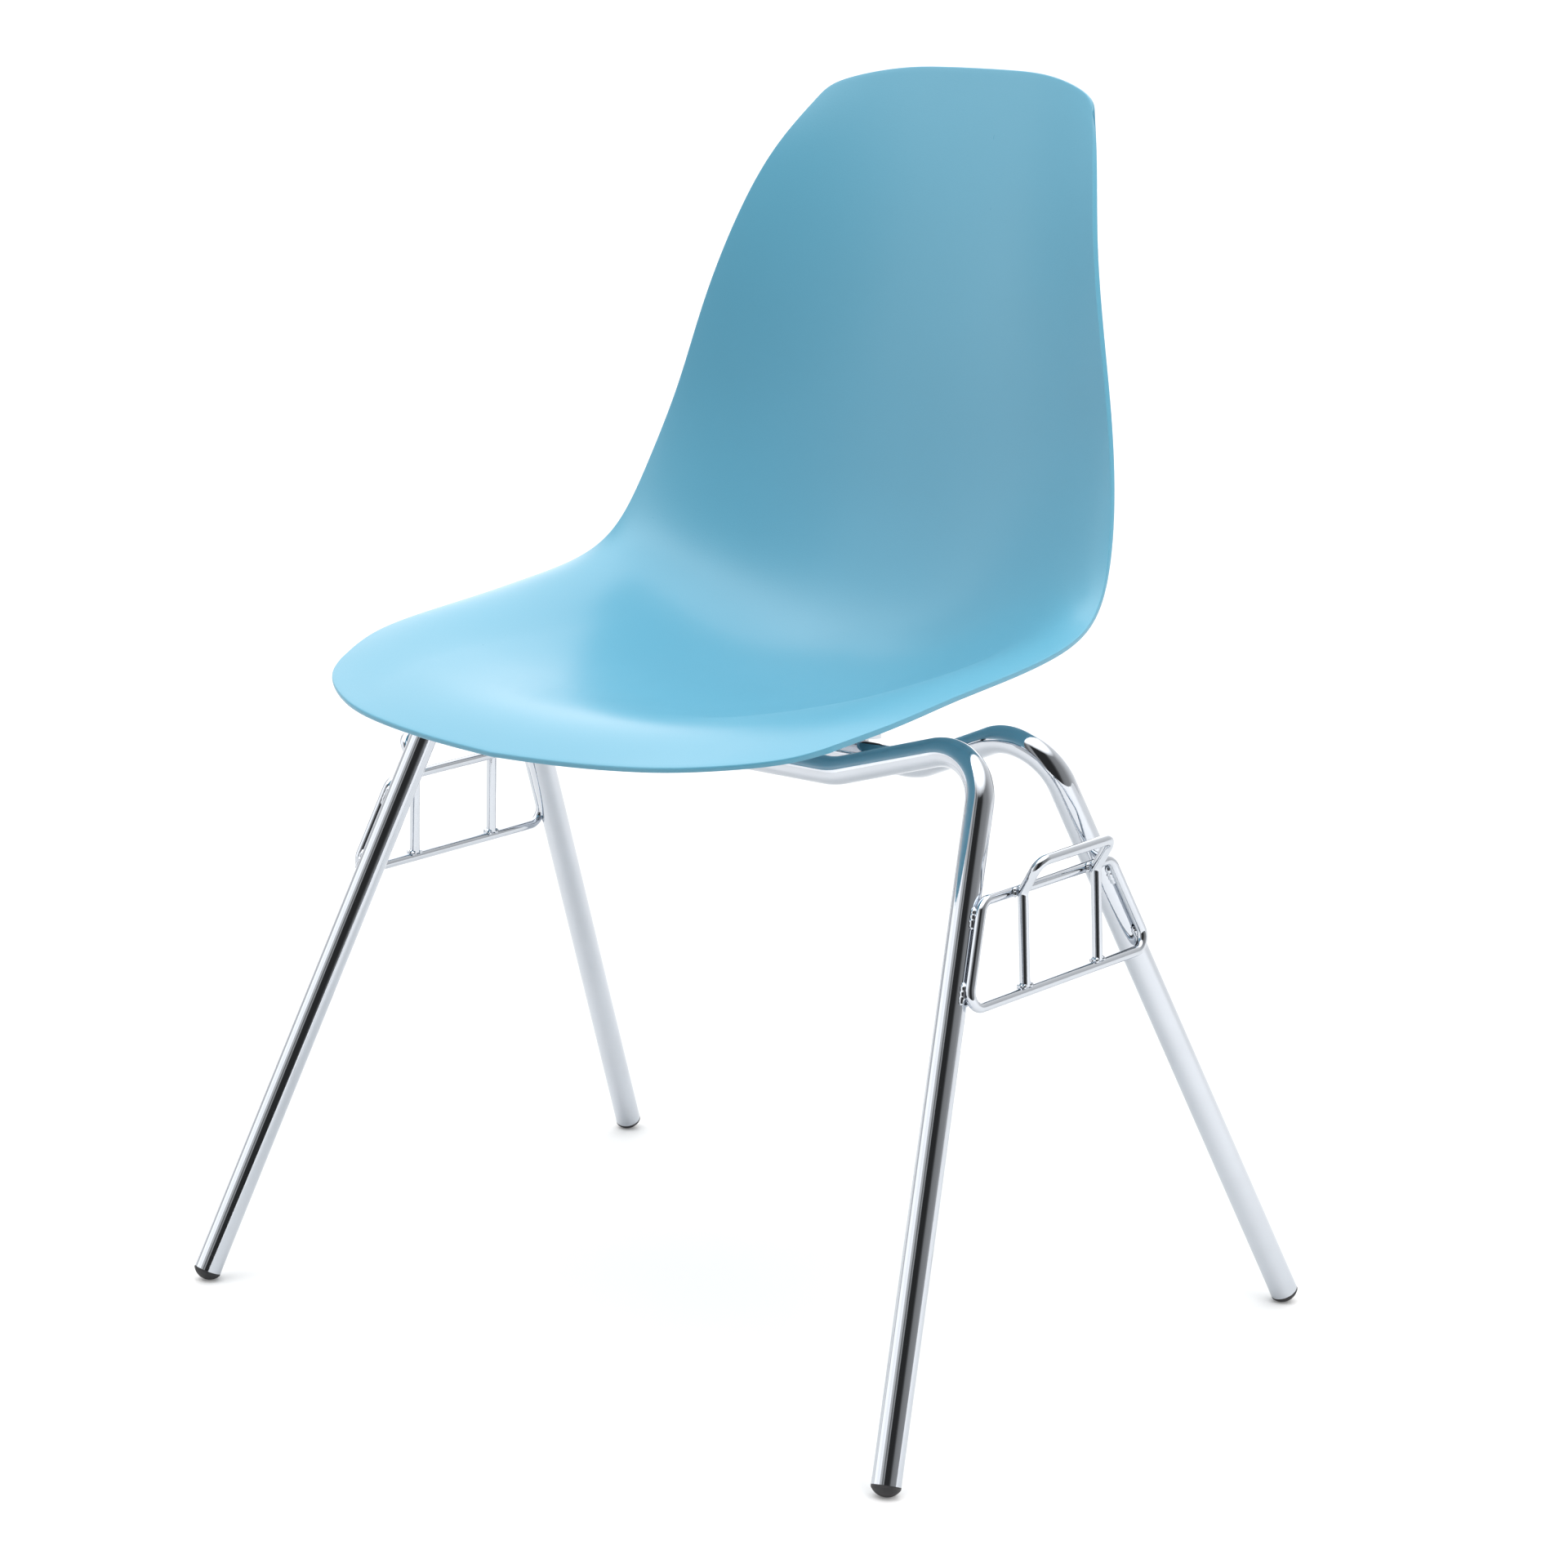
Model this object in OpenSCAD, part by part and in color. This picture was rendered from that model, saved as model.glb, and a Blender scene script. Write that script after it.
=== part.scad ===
// Stacking side chair: a moulded one-piece seat shell on two bent-tube leg hoops.
// The hoops lean towards each other and meet under the seat, where two welded plates
// carry the shell on four rubber mounts. A wire link frame with a hook is welded to the
// outside of each pair of legs, so that chairs can be joined in rows.
//
// Frame: origin on the floor, under the middle of the chair's overall depth. The sitter
// faces -Y, +Z is up. Left is -X and right is +X, as seen from the front.

/* [Shell] */
// Overall width of the shell, over the side rims of the seat
shell_w = 456; // [400:1:560]
// Overall depth of the shell, from its front edge to the top of its back
shell_d = 507; // [460:1:620]
// Height of the back's top edge above the seat's front edge
back_h = 400; // [330:1:480]
// Height of the seat's front edge above the floor
seat_h = 429; // [380:1:520]
// Wall thickness of the moulding
shell_t = 4; // [3:0.5:7]

/* [Leg hoops] */
// Distance across the chair between the feet, centre to centre
feet_w = 607; // [540:1:740]
// Distance from the front feet to the rear feet, centre to centre
feet_d = 440; // [370:1:540]
// How far the middle of the legs lies in front of the middle of the shell
legs_forward = 12; // [0:1:30]
// Outside diameter of the leg tube
tube_d = 19; // [16:0.5:23]
// Wall thickness of the leg tube
tube_wall = 1.5; // [1:0.1:2.5]
// Distance across between the shoulder corners, where the leg lines meet the seat tubes
shoulder_w = 465; // [400:1:520]
// Rise of the front shoulder corners above the front seat tube
front_shoulder_rise = 33; // [20:1:50]
// Rise of the rear shoulder corners above the rear seat tube
rear_shoulder_rise = 47; // [30:1:60]
// Bend radius of the shoulders, to the tube's centre
shoulder_r = 35; // [28:1:45]
// Distance across between the two kinks of the seat tube
kink_w = 240; // [200:1:280]
// Bend radius of the kinks, to the tube's centre
kink_r = 45; // [30:1:60]
// Drop from the seat's front edge to the top of the front seat tube
front_tube_drop = 21.5; // [20:0.5:45]
// Drop from the seat's front edge to the top of the rear seat tube
rear_tube_drop = 33.5; // [32:0.5:60]
// Distance between the centres of the two seat tubes, front to back
seat_tube_gap = 89; // [70:1:120]

/* [Link frames] */
// Diameter of the wire
wire_d = 7; // [5:0.5:9]
// Height of the lower wire above the floor
link_low_z = 276; // [200:1:300]
// Height of the upper wire above the floor
link_high_z = 340; // [310:1:370]
// Corner radius of the frame, to the wire's centre
link_corner_r = 10; // [8:1:16]
// Distance between the two uprights of the hook wire
hook_w = 79; // [60:1:100]
// How far the hook's bar stands out from the link frame
hook_reach = 24; // [18:1:34]
// Height of the hook's bar above the upper wire, along the frame
hook_rise = 19; // [14:1:30]
// Bend radius of the hook's corners, to the wire's centre
hook_r = 8; // [7:0.5:12]

/* [Seat mounting] */
// Distance between the centre lines of the two mount plates
plate_gap = 110; // [96:1:190]
// Width of a mount plate
plate_w = 28; // [26:1:36]
// Thickness of a mount plate
plate_t = 3; // [2:0.5:5]
// Gap between a washer and the edge of the seat tube beside it
washer_room = 1.5; // [1:0.5:12]
// Diameter of the rubber mounts
rubber_d = 26; // [22:1:30]
// Diameter of the screw's shank
screw_d = 6; // [5:0.5:8]
// Diameter of the screw's head
head_d = 11; // [10:0.5:14]
// Height of the screw's head
head_h = 4; // [3:0.5:6]
// Width across the flats of the screw's socket
socket_af = 4; // [3:0.5:5]
// Outside diameter of the washer
washer_d = 14; // [12.5:0.5:18]
// Thickness of the washer
washer_t = 1.2; // [0.8:0.1:2]
// Outside diameter of the threaded insert
insert_d = 10; // [9:0.5:12]
// Length of the threaded insert
insert_h = 6; // [4:0.5:7]

/* [Feet] */
// How much larger the radius of the foot's domed underside is than the tube's radius
dome_extra = 1.5; // [1:0.25:4]
// Height of the rim between the tube's end and the dome
foot_rim = 1.5; // [1:0.5:4]
// Length of the plug that goes up inside the tube
plug_h = 22; // [12:1:40]

/* [Fits] */
// Radial clearance of a screw in its hole
hole_gap = 0.3; // [0.1:0.05:0.6]
// Radial clearance of a pressed or bonded piece in its seat
seat_gap = 0.1; // [0.05:0.05:0.3]
// Gap between the rubber mounts and the underside of the shell
bond_gap = 0.2; // [0.1:0.05:0.5]

/* [Hidden] */

LEFT = -1;
RIGHT = 1;
FRONT = -1;
REAR = 1;
EPS = 1;

shell_blue = [0.41, 0.70, 0.81];
chrome_grey = [0.80, 0.82, 0.84];
zinc_grey = [0.62, 0.63, 0.64];
rubber_black = [0.07, 0.07, 0.08];

// ---------- the shell's shape ----------

// The design stations are drawn for a shell of this width, depth and back height, with
// z measured from the seat's front edge. shell_w, shell_d and back_h stretch them.
station_w = 456;
station_d = 507;
station_h = 400;
sx = shell_w / station_w;
sy = shell_d / station_d;
sz = back_h / station_h;

// Side rim, from the seat's front corner to the back's top corner.
rim_line = [
    [212, -177, 20], [230, -131, 30], [228, -71, 36], [228, -24, 39], [228, 27, 44],
    [223, 76, 51], [215, 109, 70], [205, 131, 119], [190, 147, 172], [176, 155, 229],
    [158, 169, 288], [141, 192, 341], [119, 221, 378]
];
// Middle of the shell, from the front edge over the seat and up the back.
middle_line = [
    [0, -255, 0], [0, -202, 19], [0, -136, 9], [0, -73, -6], [0, -3, -15],
    [0, 72, -19], [0, 138, 8], [0, 167, 70], [0, 182, 136], [0, 194, 204],
    [0, 209, 274], [0, 228, 340], [0, 252, 400]
];
// Half of the front edge and half of the top edge, from the middle to the corner.
front_line = [
    [0, -255, 0], [52, -252, 1], [104, -246, 4], [148, -237, 8], [200, -203, 14],
    [212, -177, 20]
];
top_line = [
    [0, 252, 400], [32, 251, 400], [67, 246, 399], [112, 229, 389], [119, 221, 378]
];

// The cross-section climbs from the middle to the rim as 1 - (1 - a^q)^m, where a runs
// from 0 to 1. The seat is flatter with a wide turned-out lip, the back is rounder.
seat_q = 2.8;
back_q = 2.1;
seat_m = 2.6;
back_m = 1.15;
// The seat's lip rolls outwards: from this share of the half width it rises above the
// line to the rim by up to lip_crest, and falls to the rim again. crest_gain makes the
// highest value of w^2 (1 - w) one.
lip_from = 0.66;
lip_crest = 3.5;
crest_gain = 27 / 4;
// Where along the shell the seat's section starts to turn into the back's, and ends.
blend_from = 0.35;
blend_to = 0.70;
// How far along the shell the shaped front edge and top edge reach into the surface.
front_reach = 0.30;
top_reach = 0.30;

// How finely the shell is divided, front to top and middle to rim. The divisions crowd
// slightly towards the rim.
rows = 40;
cols = 18;
rim_crowding = 0.015;

function mix(a, b, f) = a + (b - a) * f;
function ease(f) = f <= 0 ? 0 : f >= 1 ? 1 : f * f * (3 - 2 * f);

// Uniform cubic B-spline through a list of control points, f from 0 to 1. The line
// starts and ends exactly on the first and last points.
function extended(p) = concat(
    [2 * p[0] - p[1]], p, [2 * p[len(p) - 1] - p[len(p) - 2]]
);
function spline_part(e, i, u) = (
    pow(1 - u, 3) * e[i]
    + (3 * u * u * u - 6 * u * u + 4) * e[i + 1]
    + (3 * u * u - 3 * u * u * u + 3 * u + 1) * e[i + 2]
    + u * u * u * e[i + 3]
) / 6;
function spline_at(e, f) =
    let (n = len(e) - 3, s = min(max(f, 0), 1) * n, i = min(floor(s), n - 1))
    spline_part(e, i, s - i);

function stretched(p) = [for (q = p) [q.x * sx, q.y * sy, q.z * sz + seat_h]];
rim_pts = extended(stretched(rim_line));
middle_pts = extended(stretched(middle_line));
front_pts = extended(stretched(front_line));
top_pts = extended(stretched(top_line));

function back_share(t) = ease((t - blend_from) / (blend_to - blend_from));
function climb(a, t) =
    let (b = back_share(t))
    1 - pow(1 - pow(a, mix(seat_q, back_q, b)), mix(seat_m, back_m, b));
function lip_rise(a, t) =
    let (w = max(a - lip_from, 0) / (1 - lip_from))
    lip_crest * crest_gain * w * w * (1 - w) * (1 - back_share(t));

// A point between the middle and the rim at station t. Fraction a is the share of the
// half width, and side is -1 or 1.
function section_point(a, t) =
    let (m = spline_at(middle_pts, t), r = spline_at(rim_pts, t), g = climb(a, t))
    [r.x * a, mix(m.y, r.y, g), mix(m.z, r.z, g) + lip_rise(a, t)];

// How much of a shaped end edge is felt at distance f from it, and the shift there.
function fade(f) = f >= 1 ? 0 : pow(1 - f, 3);
function end_shift(edge_pts, u, t_end, a) = spline_at(edge_pts, u) - section_point(a, t_end);

// The shell's upper surface. u runs from the middle to the rim, t from front to top.
function share(u) = spline_at(front_pts, u).x / spline_at(front_pts, 1).x;
function top_share(u) = spline_at(top_pts, u).x / spline_at(top_pts, 1).x;
function skin(u, t) =
    let (
        v = abs(u),
        a = mix(share(v), top_share(v), ease(t)),
        p = section_point(a, t)
            + fade(t / front_reach) * end_shift(front_pts, v, 0, share(v))
            + fade((1 - t) / top_reach) * end_shift(top_pts, v, 1, top_share(v))
    )
    [u < 0 ? -p.x : p.x, p.y, p.z];

// Unit normal of the upper surface, towards the sitter, by small steps either way.
step_u = 0.01;
step_t = 0.004;
function unit(v) = v / norm(v);
function skin_normal(u, t) =
    let (
        u0 = max(u - step_u, -1), u1 = min(u + step_u, 1),
        t0 = max(t - step_t, 0), t1 = min(t + step_t, 1),
        du = skin(u1, t) - skin(u0, t),
        dt = skin(u, t1) - skin(u, t0)
    )
    unit(cross(du, dt));
function underside(u, t) = skin(u, t) - shell_t * skin_normal(u, t);

module seat_shell() {
    n = 2 * cols + 1;
    count = n * (rows + 1);
    us = [for (j = [-cols:cols]) mix(j / cols, pow(j / cols, 3), rim_crowding)];
    ts = [for (i = [0:rows]) i / rows];
    upper = [for (t = ts) for (u = us) skin(u, t)];
    lower = [for (t = ts) for (u = us) underside(u, t)];
    upper_faces = [
        for (i = [0:rows - 1]) for (j = [0:n - 2])
            let (p = i * n + j, q = p + n)
            each j < cols ? [[p, q, p + 1], [p + 1, q, q + 1]]
                          : [[p, q, q + 1], [p, q + 1, p + 1]]
    ];
    lower_faces = [for (f = upper_faces) [f[0] + count, f[2] + count, f[1] + count]];
    loop = concat(
        [for (j = [0:n - 1]) j],
        [for (i = [1:rows]) i * n + n - 1],
        [for (j = [1:n - 1]) count - 1 - j],
        [for (i = [1:rows - 1]) (rows - i) * n]
    );
    m = len(loop);
    edge_faces = [
        for (k = [0:m - 1])
            let (p = loop[k], q = loop[(k + 1) % m])
            each [[p, q, q + count], [p, q + count, p + count]]
    ];
    color(shell_blue)
        polyhedron(concat(upper, lower), concat(upper_faces, lower_faces, edge_faces));
}

// ---------- bent tubes and wires ----------

// Bends are drawn this much fatter than the straights, which run this far into them, so
// that every stretch joins the next one cleanly.
bend_swell = 0.05;
bend_lap = 0.5;

// A straight round bar from a to b.
module bar(a, b, r) {
    w = unit(b - a);
    u = unit(cross(abs(w.z) < 0.9 ? [0, 0, 1] : [0, 1, 0], w));
    v = cross(w, u);
    multmatrix([
        [u.x, v.x, w.x, a.x],
        [u.y, v.y, w.y, a.y],
        [u.z, v.z, w.z, a.z],
        [0, 0, 0, 1]
    ])
        cylinder(r = r, h = norm(b - a), $fn = 48);
}

// Everything about a bend of radius bend_r at corner p between the points a and b.
function bend_back(a, p, b, bend_r) =
    bend_r / tan(acos(unit(a - p) * unit(b - p)) / 2);
function bend_centre(a, p, b, bend_r) =
    p + unit(unit(a - p) + unit(b - p))
        * bend_r / sin(acos(unit(a - p) * unit(b - p)) / 2);

module bend(a, p, b, bend_r, r) {
    centre = bend_centre(a, p, b, bend_r);
    start = p + unit(a - p) * bend_back(a, p, b, bend_r);
    end = p + unit(b - p) * bend_back(a, p, b, bend_r);
    u = unit(start - centre);
    w = unit(cross(u, end - centre));
    v = cross(w, u);
    turn = acos(u * unit(end - centre));
    multmatrix([
        [u.x, v.x, w.x, centre.x],
        [u.y, v.y, w.y, centre.y],
        [u.z, v.z, w.z, centre.z],
        [0, 0, 0, 1]
    ])
        rotate_extrude(angle = turn, $fn = 96)
            translate([bend_r, 0])
                circle(r = r + bend_swell, $fn = 48);
}

// A round bar along the corners p, with the bend radius of each corner in bends.
module bent_bar(p, bends, r) {
    last = len(p) - 1;
    back = [for (i = [0:last])
        i == 0 || i == last ? 0 : bend_back(p[i - 1], p[i], p[i + 1], bends[i]) - bend_lap];
    for (i = [0:last - 1]) {
        d = unit(p[i + 1] - p[i]);
        bar(p[i] + d * back[i], p[i + 1] - d * back[i + 1], r);
    }
    for (i = [1:last - 1])
        bend(p[i - 1], p[i], p[i + 1], bends[i], r);
}

// A closed ring of round bar along the corners p, all with one bend radius.
module ring_bar(p, bend_r, r) {
    n = len(p);
    back = [for (i = [0:n - 1])
        bend_back(p[(i + n - 1) % n], p[i], p[(i + 1) % n], bend_r) - bend_lap];
    for (i = [0:n - 1]) {
        q = p[(i + 1) % n];
        d = unit(q - p[i]);
        bar(p[i] + d * back[i], q - d * back[(i + 1) % n], r);
        bend(p[(i + n - 1) % n], p[i], q, bend_r, r);
    }
}

// ---------- leg hoops ----------

tube_r = tube_d / 2;
wire_r = wire_d / 2;
dome_r = tube_r + dome_extra;

// A foot's dome is centred on the leg's axis at this height, so that it meets the floor.
foot_z = dome_r;
// The dome's centre lies this far up the leg from the tube's end.
foot_set = sqrt(dome_r * dome_r - tube_r * tube_r) - foot_rim;

front_tube_z = seat_h - front_tube_drop - tube_r;
rear_tube_z = seat_h - rear_tube_drop - tube_r;
front_shoulder_z = front_tube_z + front_shoulder_rise;
rear_shoulder_z = rear_tube_z + rear_shoulder_rise;

// Sideways lean of every leg, and front-to-back lean of each hoop, per unit of height.
leg_lean = (feet_w - shoulder_w) / 2 / (front_shoulder_z - foot_z);
front_lean = (feet_d - seat_tube_gap) / 2 / (front_tube_z - foot_z);
rear_lean = (feet_d - seat_tube_gap) / 2 / (rear_tube_z - foot_z);

function lean_of(end) = end == FRONT ? front_lean : rear_lean;
function tube_z_of(end) = end == FRONT ? front_tube_z : rear_tube_z;
function shoulder_z_of(end) = end == FRONT ? front_shoulder_z : rear_shoulder_z;

// A point on a leg's axis at height z, and the direction down the leg.
function leg_y(end, z) = end * (feet_d / 2 - lean_of(end) * (z - foot_z)) - legs_forward;
function leg_point(side, end, z) = [
    side * (feet_w / 2 - leg_lean * (z - foot_z)), leg_y(end, z), z
];
function leg_down(side, end) = unit([side * leg_lean, end * lean_of(end), -1]);
function tube_end(side, end) = leg_point(side, end, foot_z) + foot_set * leg_down(side, end);

function kink_point(side, end) = [
    side * kink_w / 2, leg_y(end, tube_z_of(end)), tube_z_of(end)
];
function hoop_corners(end, extra) = [
    tube_end(LEFT, end) + extra * leg_down(LEFT, end),
    leg_point(LEFT, end, shoulder_z_of(end)),
    kink_point(LEFT, end),
    kink_point(RIGHT, end),
    leg_point(RIGHT, end, shoulder_z_of(end)),
    tube_end(RIGHT, end) + extra * leg_down(RIGHT, end)
];
hoop_bends = [0, shoulder_r, kink_r, kink_r, shoulder_r, 0];

module leg_hoop(end) {
    color(chrome_grey)
        difference() {
            bent_bar(hoop_corners(end, 0), hoop_bends, tube_r);
            bent_bar(hoop_corners(end, EPS), hoop_bends, tube_r - tube_wall);
        }
}

module front_leg_hoop() { leg_hoop(FRONT); }
module rear_leg_hoop() { leg_hoop(REAR); }

// ---------- link frames and hooks ----------

// The link parts are drawn in the plane of a pair of legs: x outwards from the leg axes,
// y from the middle of the legs, and z up along them from the height of the foot centres.
lean_angle = atan(leg_lean);
wire_out = tube_r + wire_r;
function along_leg(z) = (z - foot_z - wire_out * sin(lean_angle)) / cos(lean_angle);
function frame_y(end, w) = end * (feet_d / 2 - lean_of(end) * w * cos(lean_angle));
link_low = along_leg(link_low_z);
link_high = along_leg(link_high_z);

module on_leg_pair(side) {
    mirror([side == LEFT ? 1 : 0, 0, 0])
        translate([feet_w / 2, -legs_forward, foot_z])
            rotate([0, -lean_angle, 0])
                children();
}

module link_frame(side) {
    color(chrome_grey)
        on_leg_pair(side)
            ring_bar([
                [wire_out, frame_y(FRONT, link_low), link_low],
                [wire_out, frame_y(REAR, link_low), link_low],
                [wire_out, frame_y(REAR, link_high), link_high],
                [wire_out, frame_y(FRONT, link_high), link_high]
            ], link_corner_r, wire_r);
}

module left_link_frame() { link_frame(LEFT); }
module right_link_frame() { link_frame(RIGHT); }

// The hook's uprights stand on the lower wire and lean out past the upper one.
hook_pass = wire_d + 1;

module hook_wire(side) {
    foot = link_low + wire_r;
    color(chrome_grey)
        on_leg_pair(side)
            bent_bar([
                [wire_out, -hook_w / 2, foot],
                [wire_out + hook_pass, -hook_w / 2, link_high],
                [wire_out + hook_reach, -hook_w / 2, link_high + hook_rise],
                [wire_out + hook_reach, hook_w / 2, link_high + hook_rise],
                [wire_out + hook_pass, hook_w / 2, link_high],
                [wire_out, hook_w / 2, foot]
            ], [0, hook_r, hook_r, hook_r, hook_r, 0], wire_r);
}

module left_hook_wire() { hook_wire(LEFT); }
module right_hook_wire() { hook_wire(RIGHT); }

// ---------- seat mounting ----------

// The plates lie on both seat tubes. Their own frame has its origin midway between the
// tube axes, y along the plate towards the rear and z square to the plate.
plate_slope = -atan((front_tube_z - rear_tube_z) / seat_tube_gap);
plate_mid_z = (front_tube_z + rear_tube_z) / 2;
plate_top = tube_r + plate_t;
// Distance between the two screws of a plate, which stand just outside the tubes.
screw_gap = seat_tube_gap / cos(plate_slope) + tube_d + washer_d + 2 * washer_room;

module on_plate(side) {
    translate([side * plate_gap / 2, -legs_forward, plate_mid_z])
        rotate([plate_slope, 0, 0])
            children();
}
module at_screw(side, end) {
    on_plate(side)
        translate([0, end * screw_gap / 2, 0])
            children();
}

module mount_plate(side) {
    color(chrome_grey)
        on_plate(side)
            translate([0, 0, tube_r])
                linear_extrude(plate_t)
                    difference() {
                        union() {
                            square([plate_w, screw_gap], center = true);
                            for (end = [FRONT, REAR])
                                translate([0, end * screw_gap / 2])
                                    circle(d = plate_w, $fn = 64);
                        }
                        for (end = [FRONT, REAR])
                            translate([0, end * screw_gap / 2])
                                circle(r = screw_d / 2 + hole_gap, $fn = 32);
                    }
}

module left_mount_plate() { mount_plate(LEFT); }
module right_mount_plate() { mount_plate(RIGHT); }

// Where the shell's underside lies over a screw, in the frame of at_screw on the right.
function to_screw(p, end) =
    let (
        q = p - [plate_gap / 2, -legs_forward, plate_mid_z],
        c = cos(plate_slope), s = sin(plate_slope)
    )
    [q.x, c * q.y + s * q.z - end * screw_gap / 2, c * q.z - s * q.y];
function turn_to_screw(v) =
    let (c = cos(plate_slope), s = sin(plate_slope))
    [v.x, c * v.y + s * v.z, c * v.z - s * v.y];
// The u that lies over the plate's centre line at station t, and then the station that
// lies over the screw, each found by halving.
function u_over(t, lo, hi, n) =
    let (mid = (lo + hi) / 2)
    n == 0 ? mid
    : underside(mid, t).x < plate_gap / 2 ? u_over(t, mid, hi, n - 1) : u_over(t, lo, mid, n - 1);
function t_over(end, lo, hi, n) =
    let (mid = (lo + hi) / 2, y = to_screw(underside(u_over(mid, 0, 1, halvings), mid), end).y)
    n == 0 ? mid : y < 0 ? t_over(end, mid, hi, n - 1) : t_over(end, lo, mid, n - 1);

// The stretch of stations that holds all four screws, the number of halvings and the
// size of the block that shapes the tops of the rubber mounts.
seat_from = 0.05;
seat_to = 0.50;
halvings = 12;
room = 40;

module rubber_mount(side, end) {
    t = t_over(end, seat_from, seat_to, halvings);
    u = u_over(t, 0, 1, halvings);
    touch = to_screw(underside(u, t), end);
    n = turn_to_screw(skin_normal(u, t));
    color(rubber_black)
        mirror([side == LEFT ? 1 : 0, 0, 0])
            at_screw(RIGHT, end)
                difference() {
                    translate([0, 0, plate_top])
                        cylinder(d = rubber_d, h = room, $fn = 64);
                    translate(touch - bond_gap * n)
                        rotate([0, acos(n.z), atan2(n.y, n.x)])
                            translate([-room, -room, 0])
                                cube([2 * room, 2 * room, 2 * room]);
                    translate([0, 0, plate_top - EPS])
                        cylinder(r = insert_d / 2 + seat_gap, h = insert_h + seat_gap + EPS, $fn = 48);
                }
}

module insert(side, end) {
    color(zinc_grey)
        at_screw(side, end)
            translate([0, 0, plate_top])
                difference() {
                    cylinder(d = insert_d, h = insert_h, $fn = 48);
                    translate([0, 0, -EPS])
                        cylinder(r = screw_d / 2 + seat_gap, h = insert_h + 2 * EPS, $fn = 48);
                }
}

module washer(side, end) {
    color(zinc_grey)
        at_screw(side, end)
            translate([0, 0, tube_r - washer_t])
                difference() {
                    cylinder(d = washer_d, h = washer_t, $fn = 48);
                    translate([0, 0, -EPS])
                        cylinder(r = screw_d / 2 + hole_gap, h = washer_t + 2 * EPS, $fn = 48);
                }
}

// The screw comes up from below and ends just inside the insert's top.
screw_spare = 0.5;
socket_depth = 0.6;

module screw(side, end) {
    shank = washer_t + plate_t + insert_h - screw_spare;
    color(zinc_grey)
        at_screw(side, end)
            translate([0, 0, tube_r - washer_t])
                difference() {
                    union() {
                        cylinder(d = screw_d, h = shank, $fn = 48);
                        translate([0, 0, -head_h])
                            cylinder(d = head_d, h = head_h, $fn = 48);
                    }
                    translate([0, 0, -head_h - EPS])
                        cylinder(d = socket_af / cos(30), h = head_h * socket_depth + EPS, $fn = 6);
                }
}

module front_left_rubber_mount() { rubber_mount(LEFT, FRONT); }
module front_right_rubber_mount() { rubber_mount(RIGHT, FRONT); }
module rear_left_rubber_mount() { rubber_mount(LEFT, REAR); }
module rear_right_rubber_mount() { rubber_mount(RIGHT, REAR); }
module front_left_insert() { insert(LEFT, FRONT); }
module front_right_insert() { insert(RIGHT, FRONT); }
module rear_left_insert() { insert(LEFT, REAR); }
module rear_right_insert() { insert(RIGHT, REAR); }
module front_left_washer() { washer(LEFT, FRONT); }
module front_right_washer() { washer(RIGHT, FRONT); }
module rear_left_washer() { washer(LEFT, REAR); }
module rear_right_washer() { washer(RIGHT, REAR); }
module front_left_screw() { screw(LEFT, FRONT); }
module front_right_screw() { screw(RIGHT, FRONT); }
module rear_left_screw() { screw(LEFT, REAR); }
module rear_right_screw() { screw(RIGHT, REAR); }

// ---------- feet ----------

// A domed plug: a stem inside the tube, a rim as wide as the tube and a dome below it.
module foot(side, end) {
    down = leg_down(side, end);
    centre = leg_point(side, end, foot_z);
    stem_r = tube_r - tube_wall - seat_gap;
    color(rubber_black)
        translate(centre)
            rotate([0, acos(-down.z), atan2(-down.y, -down.x)])
                union() {
                    intersection() {
                        sphere(r = dome_r, $fn = 96);
                        translate([0, 0, -2 * dome_r])
                            cylinder(r = tube_r, h = 2 * dome_r - foot_set, $fn = 96);
                    }
                    translate([0, 0, -foot_set - foot_rim / 2])
                        cylinder(r = stem_r, h = plug_h + foot_rim / 2, $fn = 96);
                }
}

module front_left_foot() { foot(LEFT, FRONT); }
module front_right_foot() { foot(RIGHT, FRONT); }
module rear_left_foot() { foot(LEFT, REAR); }
module rear_right_foot() { foot(RIGHT, REAR); }

// ---------- assembly ----------

seat_shell();
front_leg_hoop();
rear_leg_hoop();
left_link_frame();
right_link_frame();
left_hook_wire();
right_hook_wire();
left_mount_plate();
right_mount_plate();
front_left_rubber_mount();
front_right_rubber_mount();
rear_left_rubber_mount();
rear_right_rubber_mount();
front_left_insert();
front_right_insert();
rear_left_insert();
rear_right_insert();
front_left_washer();
front_right_washer();
rear_left_washer();
rear_right_washer();
front_left_screw();
front_right_screw();
rear_left_screw();
rear_right_screw();
front_left_foot();
front_right_foot();
rear_left_foot();
rear_right_foot();
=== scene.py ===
"""Stacking side chair: the visible model, drawn over its packed solids.

The light blue moulded shell, the bright tube hoops, the wire link frames with their hooks
and the weld beads are made here. Plates, rubber mounts, fastenings and feet are the packed
solids with finer finishes. Everything is in metres, in the frame of the solids.
"""
import math
import random

import bpy
import numpy as np
from bpy.props import FloatProperty, FloatVectorProperty, IntProperty, PointerProperty
from mathutils import Matrix, Vector


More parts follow.
